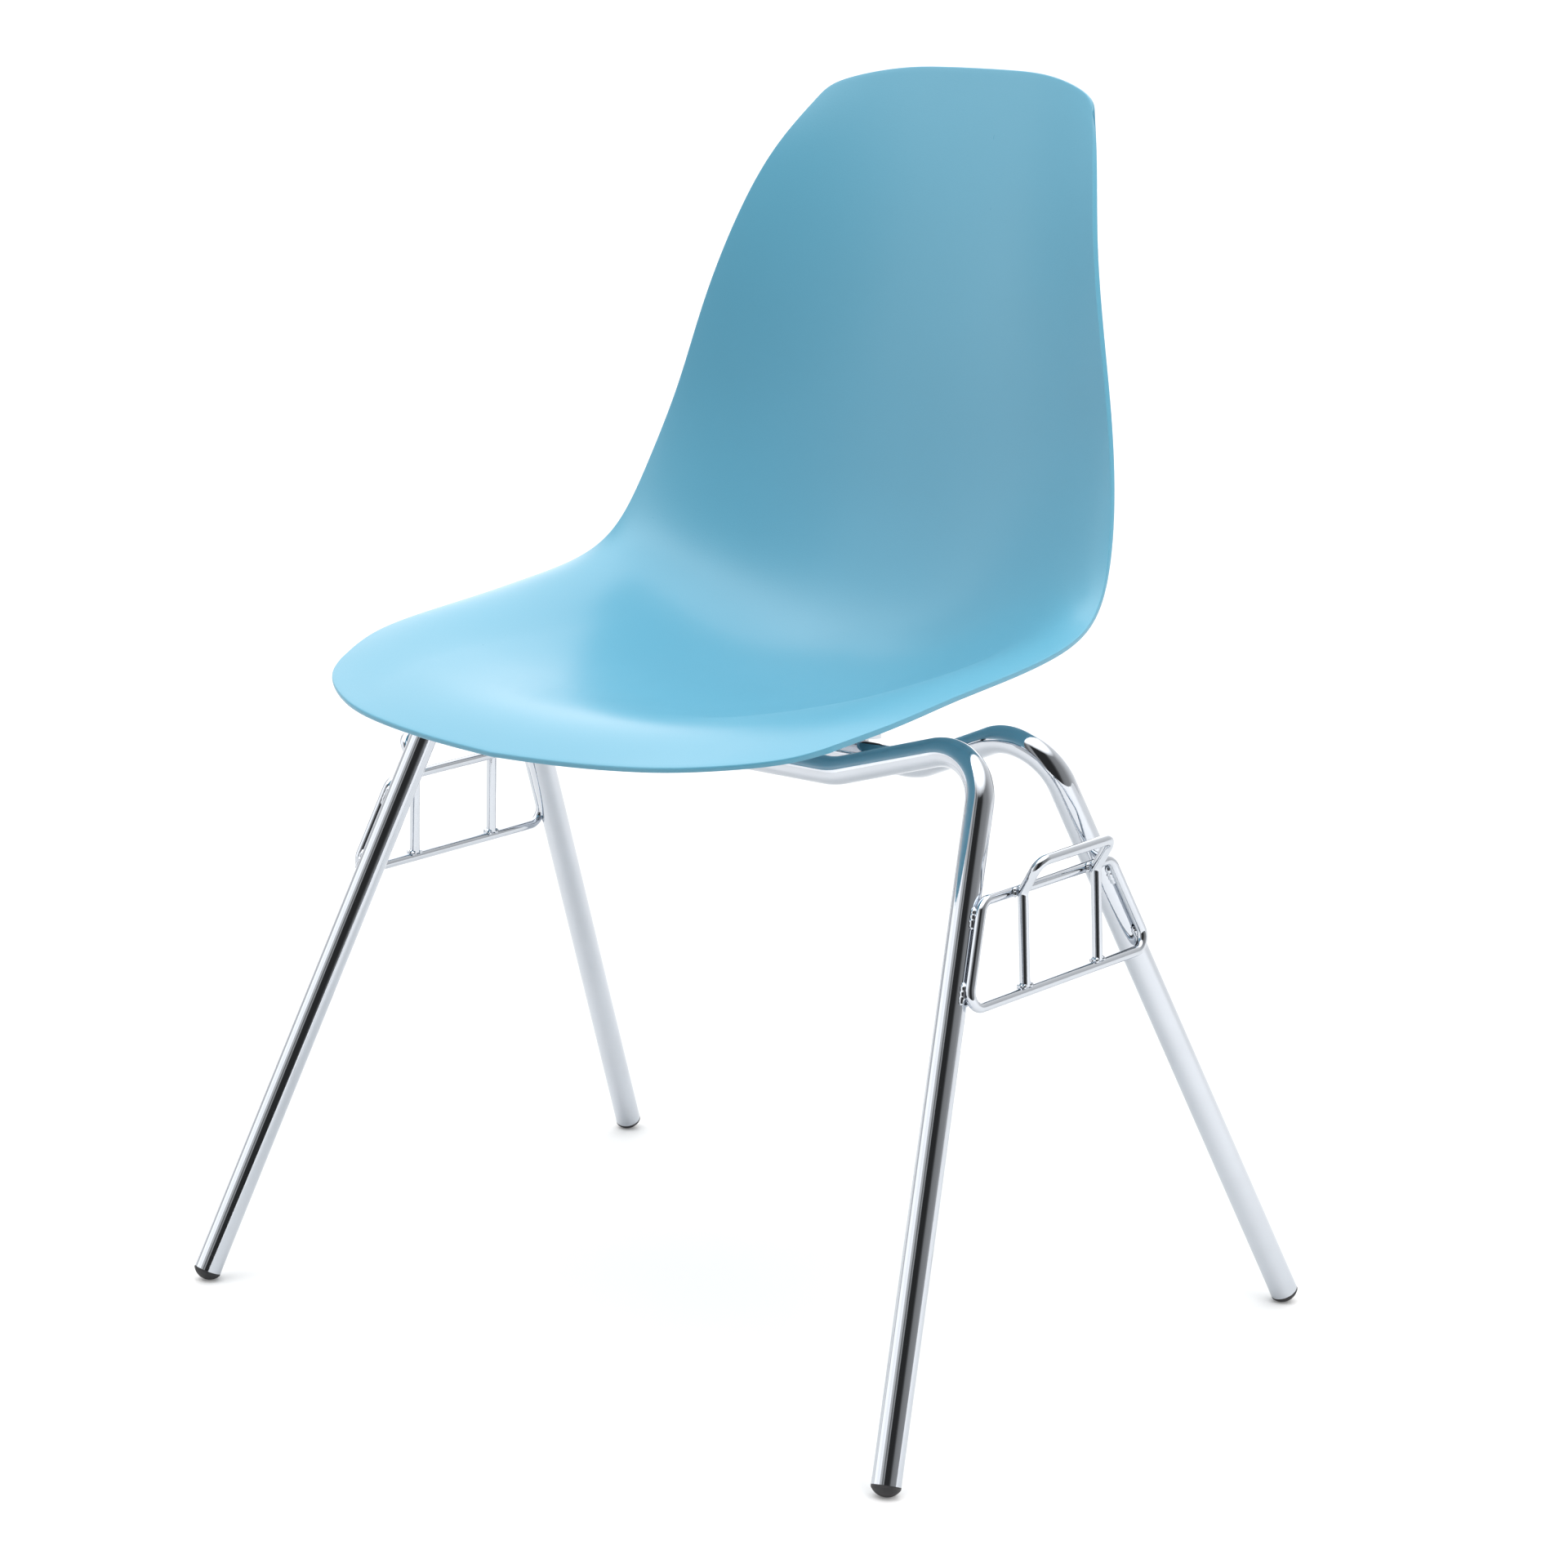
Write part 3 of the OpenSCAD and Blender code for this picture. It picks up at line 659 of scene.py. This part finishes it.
class ShellSurface:
    """The sitter's side of the shell as a function of u, side to side, and t, front to top."""

    def __init__(self, seat_height):
        lift = np.array([0, 0, seat_height])

        def extended(line):
            p = np.array(line, float) * MM + lift
            return np.vstack([2 * p[0] - p[1], p, 2 * p[-1] - p[-2]])

        self.rim = extended(RIM_LINE)
        self.middle = extended(MIDDLE_LINE)
        self.front = extended(FRONT_LINE)
        self.top = extended(TOP_LINE)

    @staticmethod
    def on(line, f):
        """Points on a smooth curve along a line of stations, for shares f of its length."""
        n = len(line) - 3
        s = np.clip(f, 0.0, 1.0) * n
        i = np.minimum(np.floor(s).astype(int), n - 1)
        u = (s - i)[..., None]
        return (
            (1 - u) ** 3 * line[i]
            + (3 * u**3 - 6 * u**2 + 4) * line[i + 1]
            + (3 * u**2 - 3 * u**3 + 3 * u + 1) * line[i + 2]
            + u**3 * line[i + 3]
        ) / 6

    def section(self, a, t):
        """The section at t, for shares a of the half width."""
        b = ease((t - BLEND[0]) / (BLEND[1] - BLEND[0]))
        power = SEAT_SHAPE[0] + (BACK_SHAPE[0] - SEAT_SHAPE[0]) * b
        lip = SEAT_SHAPE[1] + (BACK_SHAPE[1] - SEAT_SHAPE[1]) * b
        climb = 1 - (1 - np.clip(a, 0, 1) ** power) ** lip
        w = np.clip((a - LIP_FROM) / (1 - LIP_FROM), 0, 1)
        crest = LIP_CREST * (1 - b) * w * w * (1 - w) * CREST_GAIN
        m, r = self.on(self.middle, t), self.on(self.rim, t)
        return np.stack([
            r[..., 0] * a,
            m[..., 1] + (r[..., 1] - m[..., 1]) * climb,
            m[..., 2] + (r[..., 2] - m[..., 2]) * climb + crest,
        ], -1)

    def point(self, u, t):
        u, t = np.broadcast_arrays(np.asarray(u, float), np.asarray(t, float))
        v = np.abs(u)
        one = np.ones_like(t)
        front, top = self.on(self.front, v), self.on(self.top, v)
        share = front[..., 0] / self.on(self.front, 1.0)[0]
        top_share = top[..., 0] / self.on(self.top, 1.0)[0]
        a = share + (top_share - share) * ease(t)
        near = np.clip(1 - t / END_REACH, 0, 1)[..., None] ** 3
        far = np.clip(1 - (1 - t) / END_REACH, 0, 1)[..., None] ** 3
        p = self.section(a, t)
        p = p + near * (front - self.section(share, one * 0))
        p = p + far * (top - self.section(top_share, one))
        p[..., 0] *= np.where(u < 0, -1, 1)
        return p

    def normal(self, u, t):
        du, dt = NORMAL_STEP
        across = self.point(np.minimum(u + du, 1), t) - self.point(np.maximum(u - du, -1), t)
        along = self.point(u, np.minimum(t + dt, 1)) - self.point(u, np.maximum(t - dt, 0))
        n = np.cross(across, along)
        return n / np.linalg.norm(n, axis=-1, keepdims=True)


def shell_mesh():
    """The shell as a closed mesh with a rounded rim."""
    sizes = bpy.context.scene.chair_shell
    surface = ShellSurface(sizes.seat_height)
    cols, rows, r = sizes.columns, sizes.rows, sizes.edge_round
    inset_u = 2 * r / SHELL_WIDTH
    inset_t = r / (SHELL_TOP - sizes.seat_height + SHELL_WIDTH)
    j = np.linspace(-1, 1, cols + 1)
    u_line = ((1 - COLUMN_BUNCH) * j + COLUMN_BUNCH * j**3) * (1 - inset_u)
    i = np.linspace(0, 1, rows + 1)
    t_line = inset_t + (1 - 2 * inset_t) * (i - ROW_BUNCH * np.sin(2 * math.pi * i))
    t, u = np.meshgrid(t_line, u_line, indexing="ij")
    upper = surface.point(u, t)
    normals = surface.normal(u, t)
    lower = upper - normals * sizes.thickness
    n = cols + 1
    points = list(upper.reshape(-1, 3)) + list(lower.reshape(-1, 3))
    count = n * (rows + 1)
    faces = []
    for a in range(rows):
        for b in range(cols):
            p, q = a * n + b, (a + 1) * n + b
            faces.append((p, p + 1, q + 1, q))
            faces.append((count + p, count + q, count + q + 1, count + p + 1))
    loop = (
        [(0, b) for b in range(n)]
        + [(a, n - 1) for a in range(1, rows + 1)]
        + [(rows, b) for b in range(n - 2, -1, -1)]
        + [(a, 0) for a in range(rows - 1, 0, -1)]
    )
    quarter = np.linspace(0, math.pi / 2, EDGE_STEPS)[1:]
    profile = [(math.sin(a), 1 - math.cos(a)) for a in quarter]
    rings = []
    for a, b in loop:
        edge_u = math.copysign(1, u_line[b]) if b in (0, n - 1) else u_line[b] / (1 - inset_u)
        edge_t = 0.0 if a == 0 else 1.0 if a == rows else t_line[a]
        edge_u = u_line[b] if (a in (0, rows) and b not in (0, n - 1)) else edge_u
        edge = surface.point(np.array(edge_u), np.array(edge_t))
        inner, normal = upper[a, b], normals[a, b]
        out = edge - inner
        out = out - normal * float(out @ normal)
        out = unit(out) * min(float(np.linalg.norm(out)), EDGE_REACH * r)
        ring = [inner + out * x - normal * r * y for x, y in profile]
        ring += [inner + out * x - normal * (sizes.thickness - r * y) for x, y in profile[::-1]]
        rings.append(ring)
    depth = len(rings[0])
    base = len(points)
    for ring in rings:
        points.extend(ring)
    total = len(loop)
    for k in range(total):
        m = (k + 1) % total
        (a0, b0), (a1, b1) = loop[k], loop[m]
        first, second = a0 * n + b0, a1 * n + b1
        chain0 = [first] + [base + k * depth + d for d in range(depth)] + [count + first]
        chain1 = [second] + [base + m * depth + d for d in range(depth)] + [count + second]
        for d in range(depth + 1):
            faces.append((chain0[d], chain0[d + 1], chain1[d + 1], chain1[d]))
    low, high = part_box("seat_shell")
    points = np.clip(np.array(points), np.array(low), np.array(high))
    return points, faces


# ---------- the hoops ----------


class LegLines:
    """Where the legs and wires run, worked out from the sizes."""

    def __init__(self):
        tube = bpy.context.scene.chair_tube
        wire = bpy.context.scene.chair_wire
        self.tube, self.wire = tube, wire
        self.tube_r = tube.diameter / 2
        self.wire_r = wire.diameter / 2
        self.side_lean = (tube.feet_width - tube.shoulder_width) / 2 / (
            tube.front_axis + tube.front_rise - tube.dome
        )
        run = (tube.feet_depth - tube.seat_gap) / 2
        self.lean = {FRONT: run / (tube.front_axis - tube.dome),
                     REAR: run / (tube.rear_axis - tube.dome)}
        self.axis = {FRONT: tube.front_axis, REAR: tube.rear_axis}
        self.rise = {FRONT: tube.front_rise, REAR: tube.rear_rise}
        self.angle = math.atan(self.side_lean)
        self.out = self.tube_r + self.wire_r

    def leg_y(self, end, z):
        return end * (self.tube.feet_depth / 2 - self.lean[end] * (z - self.tube.dome)) + LEGS_Y

    def leg(self, side, end, z):
        x = side * (self.tube.feet_width / 2 - self.side_lean * (z - self.tube.dome))
        return np.array([x, self.leg_y(end, z), z])

    def down(self, side, end):
        return unit(np.array([side * self.side_lean, end * self.lean[end], -1.0]))

    def tube_end(self, side, end):
        set_back = math.sqrt(self.tube.dome**2 - self.tube_r**2) - self.tube.rim
        return self.leg(side, end, self.tube.dome) + set_back * self.down(side, end)

    def hoop(self, end):
        z = self.axis[end]
        half = self.tube.kink_width / 2
        y = self.leg_y(end, z)
        corners = [
            self.tube_end(LEFT, end),
            self.leg(LEFT, end, z + self.rise[end]),
            np.array([-half, y, z]),
            np.array([half, y, z]),
            self.leg(RIGHT, end, z + self.rise[end]),
            self.tube_end(RIGHT, end),
        ]
        s, k = self.tube.shoulder_bend, self.tube.kink_bend
        return corners, [0, s, k, k, s, 0]

    def on_pair(self, side, x, y, z):
        """A point given outwards from the leg axes, front to back, and up along the legs."""
        c, s = math.cos(self.angle), math.sin(self.angle)
        px = self.tube.feet_width / 2 + x * c - z * s
        return np.array([side * px, y + LEGS_Y, self.tube.dome + x * s + z * c])

    def along(self, z):
        """How far up along the legs a wire on their outside reaches a height."""
        return (z - self.tube.dome - self.out * math.sin(self.angle)) / math.cos(self.angle)

    def frame_y(self, end, w):
        return end * (self.tube.feet_depth / 2 - self.lean[end] * w * math.cos(self.angle))

    def link_frame(self, side):
        low, high = self.along(self.wire.low), self.along(self.wire.high)
        spots = ((FRONT, low), (REAR, low), (REAR, high), (FRONT, high))
        return [self.on_pair(side, self.out, self.frame_y(end, w), w) for end, w in spots]

    def hook(self, side):
        low, high = self.along(self.wire.low) + self.wire_r, self.along(self.wire.high)
        half, out = self.wire.hook_width / 2, self.out
        reach, rise = self.wire.hook_reach, self.wire.hook_rise
        past = self.wire.diameter + MM
        spots = (
            (out, -half, low), (out + past, -half, high), (out + reach, -half, high + rise),
            (out + reach, half, high + rise), (out + past, half, high), (out, half, low),
        )
        bend = self.wire.hook_bend
        return [self.on_pair(side, *p) for p in spots], [0, bend, bend, bend, bend, 0]


# ---------- weld beads ----------

# A bead's outline: the power that rounds its ends, and its ripples' depth and spacing.
END_POWER = 3.2
RIPPLE, RIPPLE_SPACE = 0.13, 1.1 * MM
# How far a bead's width and path stray from step to step.
STRAY = 0.05
# The first seed for each kind of joint.
FOOT_SEED, CROSS_SEED, LEG_SEED = 11, 31, 51
# The beads along a leg: their places as shares of the frame's end, their length, how far
# they stand off the leg, and how far from the middle of the seam.
LEG_BEADS = (0.16, 0.84)
LEG_BEAD_LENGTH, LEG_BEAD_OUT, LEG_BEAD_SIDE = 15 * MM, 0.3 * MM, 2.9 * MM


def bead(centre, along, out, length, width, height, seed, rounds=10, steps=14):
    """A weld bead: a low rippled ridge lying along a seam, rounded at both ends."""
    along, out = unit(np.array(along, float)), np.array(out, float)
    out = unit(out - along * float(out @ along))
    across = np.cross(along, out)
    dice = random.Random(seed)
    shift = dice.uniform(0, 6.28)
    points, faces = [], []
    for i in range(steps + 1):
        f = -1 + 2 * i / steps
        swell = math.sqrt(max(0.0, 1 - abs(f) ** END_POWER)) * (
            1 + RIPPLE * math.sin(f * length / RIPPLE_SPACE + shift) + dice.uniform(-STRAY, STRAY)
        )
        wander = across * dice.uniform(-STRAY, STRAY) * width
        for k in range(rounds):
            a = 2 * math.pi * k / rounds
            points.append(centre + along * f * length / 2 + wander
                          + across * math.cos(a) * width / 2 * swell
                          + out * math.sin(a) * height * swell)
    for i in range(steps):
        for k in range(rounds):
            n = (k + 1) % rounds
            a, b = i * rounds, (i + 1) * rounds
            faces.append((a + k, b + k, b + n, a + n))
    return points, faces


# ---------- operators ----------

# Sides of a swept tube and wire, and steps in each of their bends.
TUBE_SIDES, WIRE_SIDES = 72, 40
TUBE_BEND_STEPS, WIRE_BEND_STEPS, HOOK_BEND_STEPS = 30, 16, 14


class CHAIR_OT_seat_shell(bpy.types.Operator):
    """Makes the moulded seat shell with its rounded rim"""

    bl_idname = "chair.seat_shell"
    bl_label = "Seat shell"

    def execute(self, context):
        points, faces = shell_mesh()
        new_piece("seat_shell_moulding", points, faces, finish_of("shell"),
                  ("seat_shell",))
        return {"FINISHED"}


class CHAIR_OT_leg_hoops(bpy.types.Operator):
    """Bends the front and rear leg hoops"""

    bl_idname = "chair.leg_hoops"
    bl_label = "Leg hoops"

    def execute(self, context):
        lines = LegLines()
        for end, word in ENDS:
            corners, bends = lines.hoop(end)
            path = rounded_path(corners, bends, TUBE_BEND_STEPS)
            inner = lines.tube_r - lines.tube.wall
            points, faces = sweep(path, lines.tube_r, TUBE_SIDES, inner=inner)
            new_piece(f"{word}_bent_tube", points, faces, finish_of("leg"),
                      (f"{word}_leg_hoop",))
        return {"FINISHED"}


class CHAIR_OT_link_frames(bpy.types.Operator):
    """Bends the closed wire frames on the outside of the legs"""

    bl_idname = "chair.link_frames"
    bl_label = "Link frames"

    def execute(self, context):
        lines = LegLines()
        for side, word in SIDES:
            corners = lines.link_frame(side)
            bends = [lines.wire.corner] * len(corners)
            path = rounded_path(corners, bends, WIRE_BEND_STEPS, closed=True)
            points, faces = sweep(path, lines.wire_r, WIRE_SIDES, closed=True)
            new_piece(f"{word}_frame_wire", points, faces, finish_of("wire"),
                      (f"{word}_link_frame",))
        return {"FINISHED"}


class CHAIR_OT_hook_wires(bpy.types.Operator):
    """Bends the hook wires"""

    bl_idname = "chair.hook_wires"
    bl_label = "Hook wires"

    def execute(self, context):
        lines = LegLines()
        for side, word in SIDES:
            corners, bends = lines.hook(side)
            path = rounded_path(corners, bends, HOOK_BEND_STEPS)
            points, faces = sweep(path, lines.wire_r, WIRE_SIDES)
            new_piece(f"{word}_bent_hook", points, faces, finish_of("wire"),
                      (f"{word}_hook_wire",))
        return {"FINISHED"}


class CHAIR_OT_welds(bpy.types.Operator):
    """Lays the weld beads of the link frames and hooks"""

    bl_idname = "chair.welds"
    bl_label = "Weld beads"

    def execute(self, context):
        lines = LegLines()
        size = lines.wire.weld
        for side, word in SIDES:
            parts = []
            low, high = lines.along(lines.wire.low), lines.along(lines.wire.high)
            top, bottom = (lines.on_pair(side, lines.out, 0, w) for w in (high, low))
            up = unit(top - bottom)
            outward = unit(lines.on_pair(side, 1, 0, 0) - lines.on_pair(side, 0, 0, 0))
            fore = np.array([0, 1.0, 0])
            for half in (-1, 1):
                y = half * lines.wire.hook_width / 2
                foot = lines.on_pair(side, lines.out, y, low + lines.wire_r)
                for way in (-1, 1):
                    spot = foot + fore * way * lines.wire_r * 0.95 + up * 0.2 * MM
                    parts.append(bead(spot, outward, up + fore * way * 0.9, 2.2 * lines.wire_r,
                                      2.0 * size, 0.95 * size, FOOT_SEED + half + 3 * way))
                cross = lines.on_pair(side, lines.out + lines.wire_r * 0.95, y, high)
                for way in (-1, 1):
                    spot = cross + fore * way * lines.wire_r * 0.8
                    parts.append(bead(spot, up, fore * way + outward * 0.3, 2.0 * lines.wire_r,
                                      1.9 * size, 0.8 * size, CROSS_SEED + half + 3 * way))
            for end, _ in ENDS:
                a, b = (lines.on_pair(side, lines.tube_r, lines.frame_y(end, w), w)
                        for w in (low, high))
                way = unit(b - a)
                reach = float(np.linalg.norm(b - a))
                for part, f in enumerate(LEG_BEADS):
                    for edge in (-1, 1):
                        across = np.cross(way, outward) * edge
                        spot = (a + way * reach * f + outward * LEG_BEAD_OUT
                                + across * LEG_BEAD_SIDE)
                        parts.append(bead(spot, way, across + outward * 0.9, LEG_BEAD_LENGTH,
                                          1.9 * size, 0.75 * size,
                                          LEG_SEED + end + 5 * part + edge))
            points, faces = joined(parts)
            new_piece(f"{word}_link_welds", points, faces, finish_of("weld"))
        return {"FINISHED"}


class CHAIR_OT_mount_plates(bpy.types.Operator):
    """Finishes the mount plates under the seat"""

    bl_idname = "chair.mount_plates"
    bl_label = "Mount plates"

    def execute(self, context):
        for _, word in SIDES:
            refinish(f"{word}_mount_plate", "wire")
        return {"FINISHED"}


class CHAIR_OT_fastenings(bpy.types.Operator):
    """Finishes the rubber mounts, inserts, washers and screws"""

    bl_idname = "chair.fastenings"
    bl_label = "Mounts and screws"

    def execute(self, context):
        kinds = (("rubber_mount", "rubber"), ("insert", "insert"), ("washer", "washer"),
                 ("screw", "screw"))
        for _, end in ENDS:
            for _, side in SIDES:
                for kind, key in kinds:
                    refinish(f"{end}_{side}_{kind}", key)
        return {"FINISHED"}


class CHAIR_OT_feet(bpy.types.Operator):
    """Finishes the plug feet"""

    bl_idname = "chair.feet"
    bl_label = "Feet"

    def execute(self, context):
        for _, end in ENDS:
            for _, side in SIDES:
                refinish(f"{end}_{side}_foot", "foot")
        return {"FINISHED"}


# The camera's own directions, as unit vectors in the chair's frame, and its place.
CAMERA_RIGHT = (0.76935, 0.63882, -0.00241)
CAMERA_UP = (-0.14732, 0.18110, 0.97237)
CAMERA_BACK = (0.62160, -0.74774, 0.23345)
CAMERA_PLACE = (1.80595, -2.12474, 1.03245)
SENSOR_WIDTH = 36.0

# The key light is high in front; the side light fills the left half of the back.
KEY_PLACE, KEY_AIM, KEY_SIZE = (-0.8, -1.2, 3.0), (0, 0, 0.5), 2.4
SIDE_PLACE, SIDE_AIM, SIDE_SIZE = (2.4, -0.4, 1.5), (0, 0, 0.55), 2.0

# The tent's walls, once round from the chair's left (-X) past its front: share of a turn,
# and brightness.
TENT_WALLS = (
    (0.000, 0.45), (0.030, 0.40), (0.050, 0.45), (0.062, 1.00), (0.120, 0.90), (0.150, 0.80),
    (0.185, 0.95), (0.200, 0.42), (0.240, 0.40), (0.252, 0.12), (0.270, 0.10), (0.280, 0.24),
    (0.296, 0.24), (0.304, 0.02), (0.410, 0.02), (0.435, 0.05), (0.455, 0.14), (0.500, 0.18),
    (0.550, 0.20), (0.600, 0.30), (0.660, 0.45), (0.760, 0.60), (0.800, 1.00), (0.930, 1.00),
    (0.960, 0.60), (1.000, 0.45),
)
WALL_LIGHT = 1.7
# How far the floor's paper runs towards the camera, and every other way.
PAPER_FRONT = 1.0
PAPER_REACH = 30.0
# Light that the paper adds for the camera alone, which thins the shadows.
PAPER_GLOW = 0.12
# The walls turn into the roof between these sines of the elevation.
ROOF_EDGE = (0.66, 0.88)
ROOF_LIGHT = 2.75
BACKDROP_LIGHT = 1.1


def add_area(name, place_at, target, width, power):
    """A soft square lamp looking at a point."""
    lamp = bpy.data.lights.new(name, "AREA")
    lamp.shape = "RECTANGLE"
    lamp.size, lamp.size_y = width, width
    lamp.energy = power
    holder = bpy.data.objects.new(name, lamp)
    holder.location = place_at
    aim = Vector(target) - Vector(place_at)
    holder.rotation_euler = aim.to_track_quat("-Z", "Y").to_euler()
    bpy.context.scene.collection.objects.link(holder)
    return holder


class CHAIR_OT_stage(bpy.types.Operator):
    """Sets the floor, the light tent, the lamps and the camera"""

    bl_idname = "chair.stage"
    bl_label = "Stage"

    def execute(self, context):
        look = context.scene.chair_studio
        self.floor(tuple(look.floor))
        self.tent(look.room)
        add_area("Key light", KEY_PLACE, KEY_AIM, KEY_SIZE, look.key)
        side = add_area("Side light", SIDE_PLACE, SIDE_AIM, SIDE_SIZE, look.side)
        side.visible_glossy = False
        self.camera(look.lens)
        context.scene.view_settings.view_transform = "Standard"
        return {"FINISHED"}

    @staticmethod
    def floor(tint):
        """Pale paper that runs far back and to the sides, and ends in front of the chair."""
        mesh = bpy.data.meshes.new("Floor")
        near = unit(np.array([CAMERA_BACK[0], CAMERA_BACK[1], 0]))
        side = np.array([-near[1], near[0], 0])
        front, back, wide = near * PAPER_FRONT, -near * PAPER_REACH, side * PAPER_REACH
        corners = (front - wide, front + wide, back + wide, back - wide)
        mesh.from_pydata([tuple(c) for c in corners], [], [(0, 1, 2, 3)])
        material, tree, shader = blank_material("Pale floor", Specular_IOR_Level=0.1)
        base = tinted(tree, noise(tree, place(tree), 3.0), scaled(tint, 0.995), tint)
        tree.links.new(base, shader.inputs["Base Color"])
        shader.inputs["Roughness"].default_value = 0.9
        seen = add_node(tree, "ShaderNodeLightPath").outputs["Is Camera Ray"]
        shader.inputs["Emission Color"].default_value = (1, 1, 1, 1)
        glow = maths(tree, "MULTIPLY", seen, PAPER_GLOW)
        tree.links.new(glow, shader.inputs["Emission Strength"])
        mesh.materials.append(material)
        floor = bpy.data.objects.new("Floor", mesh)
        bpy.context.scene.collection.objects.link(floor)

    @staticmethod
    def tent(strength):
        """A studio round the chair: a bright roof over walls that run from white to black."""
        world = bpy.data.worlds.new("Light tent")
        world.use_nodes = True
        bpy.context.scene.world = world
        tree = world.node_tree
        tree.nodes.clear()
        spot = add_node(tree, "ShaderNodeTexCoord").outputs["Generated"]
        axes = add_node(tree, "ShaderNodeSeparateXYZ", {0: spot}).outputs
        azimuth = maths(tree, "ARCTAN2", axes["Y"], axes["X"])
        turn = mapped(tree, azimuth, -math.pi, math.pi)
        ramp = add_node(tree, "ShaderNodeValToRGB", {"Fac": turn})
        ramp.color_ramp.interpolation = "LINEAR"
        marks = ramp.color_ramp.elements
        for k, (where, value) in enumerate(TENT_WALLS):
            mark = marks[k] if k < 2 else marks.new(where)
            mark.position = where
            mark.color = (value, value, value, 1)
        walls = maths(tree, "MULTIPLY", ramp.outputs["Color"], WALL_LIGHT)
        rise = mapped(tree, axes["Z"], *ROOF_EDGE)
        lit = maths(tree, "MULTIPLY", maths(tree, "SUBTRACT", ROOF_LIGHT, walls), rise)
        seen = add_node(tree, "ShaderNodeLightPath").outputs["Is Camera Ray"]
        level = maths(tree, "MAXIMUM", maths(tree, "ADD", walls, lit),
                      maths(tree, "MULTIPLY", seen, BACKDROP_LIGHT))
        back = add_node(tree, "ShaderNodeBackground", {"Color": (1, 1, 1, 1)})
        tree.links.new(maths(tree, "MULTIPLY", level, strength), back.inputs["Strength"])
        out = add_node(tree, "ShaderNodeOutputWorld")
        tree.links.new(back.outputs[0], out.inputs["Surface"])

    @staticmethod
    def camera(lens):
        """The camera, above the seat's height, between the chair's front and its right."""
        data = bpy.data.cameras.new("Camera")
        data.lens = lens
        data.sensor_width = SENSOR_WIDTH
        data.clip_start, data.clip_end = 0.05, 100.0
        camera = bpy.data.objects.new("Camera", data)
        turn = Matrix((CAMERA_RIGHT, CAMERA_UP, CAMERA_BACK)).transposed().to_4x4()
        shifted = Vector(CAMERA_PLACE) + Vector((0, LEGS_Y, 0))
        camera.matrix_world = Matrix.Translation(shifted) @ turn
        bpy.context.scene.collection.objects.link(camera)
        bpy.context.scene.camera = camera


OPERATORS = (
    CHAIR_OT_seat_shell,
    CHAIR_OT_leg_hoops,
    CHAIR_OT_link_frames,
    CHAIR_OT_hook_wires,
    CHAIR_OT_welds,
    CHAIR_OT_mount_plates,
    CHAIR_OT_fastenings,
    CHAIR_OT_feet,
    CHAIR_OT_stage,
)


class CHAIR_PT_panel(bpy.types.Panel):
    """Lists the chair's sizes, colours and steps"""

    bl_idname = "CHAIR_PT_panel"
    bl_label = "Stacking Chair"
    bl_space_type = "VIEW_3D"
    bl_region_type = "UI"
    bl_category = "Chair"

    def draw(self, context):
        for step in OPERATORS:
            self.layout.operator(step.bl_idname)
        for key, kind in GROUPS:
            box = self.layout.box()
            box.label(text=kind.__doc__)
            for name in kind.__annotations__:
                box.prop(getattr(context.scene, key), name)


def register():
    for key, kind in GROUPS:
        bpy.utils.register_class(kind)
        setattr(bpy.types.Scene, key, PointerProperty(type=kind))
    for kind in OPERATORS:
        bpy.utils.register_class(kind)
    bpy.utils.register_class(CHAIR_PT_panel)


def unregister():
    bpy.utils.unregister_class(CHAIR_PT_panel)
    for kind in reversed(OPERATORS):
        bpy.utils.unregister_class(kind)
    for key, kind in reversed(GROUPS):
        delattr(bpy.types.Scene, key)
        bpy.utils.unregister_class(kind)


def main():
    """Makes every piece and the stage."""
    register()
    for step in OPERATORS:
        family, name = step.bl_idname.split(".")
        getattr(getattr(bpy.ops, family), name)()


if __name__ == "__main__":
    main()
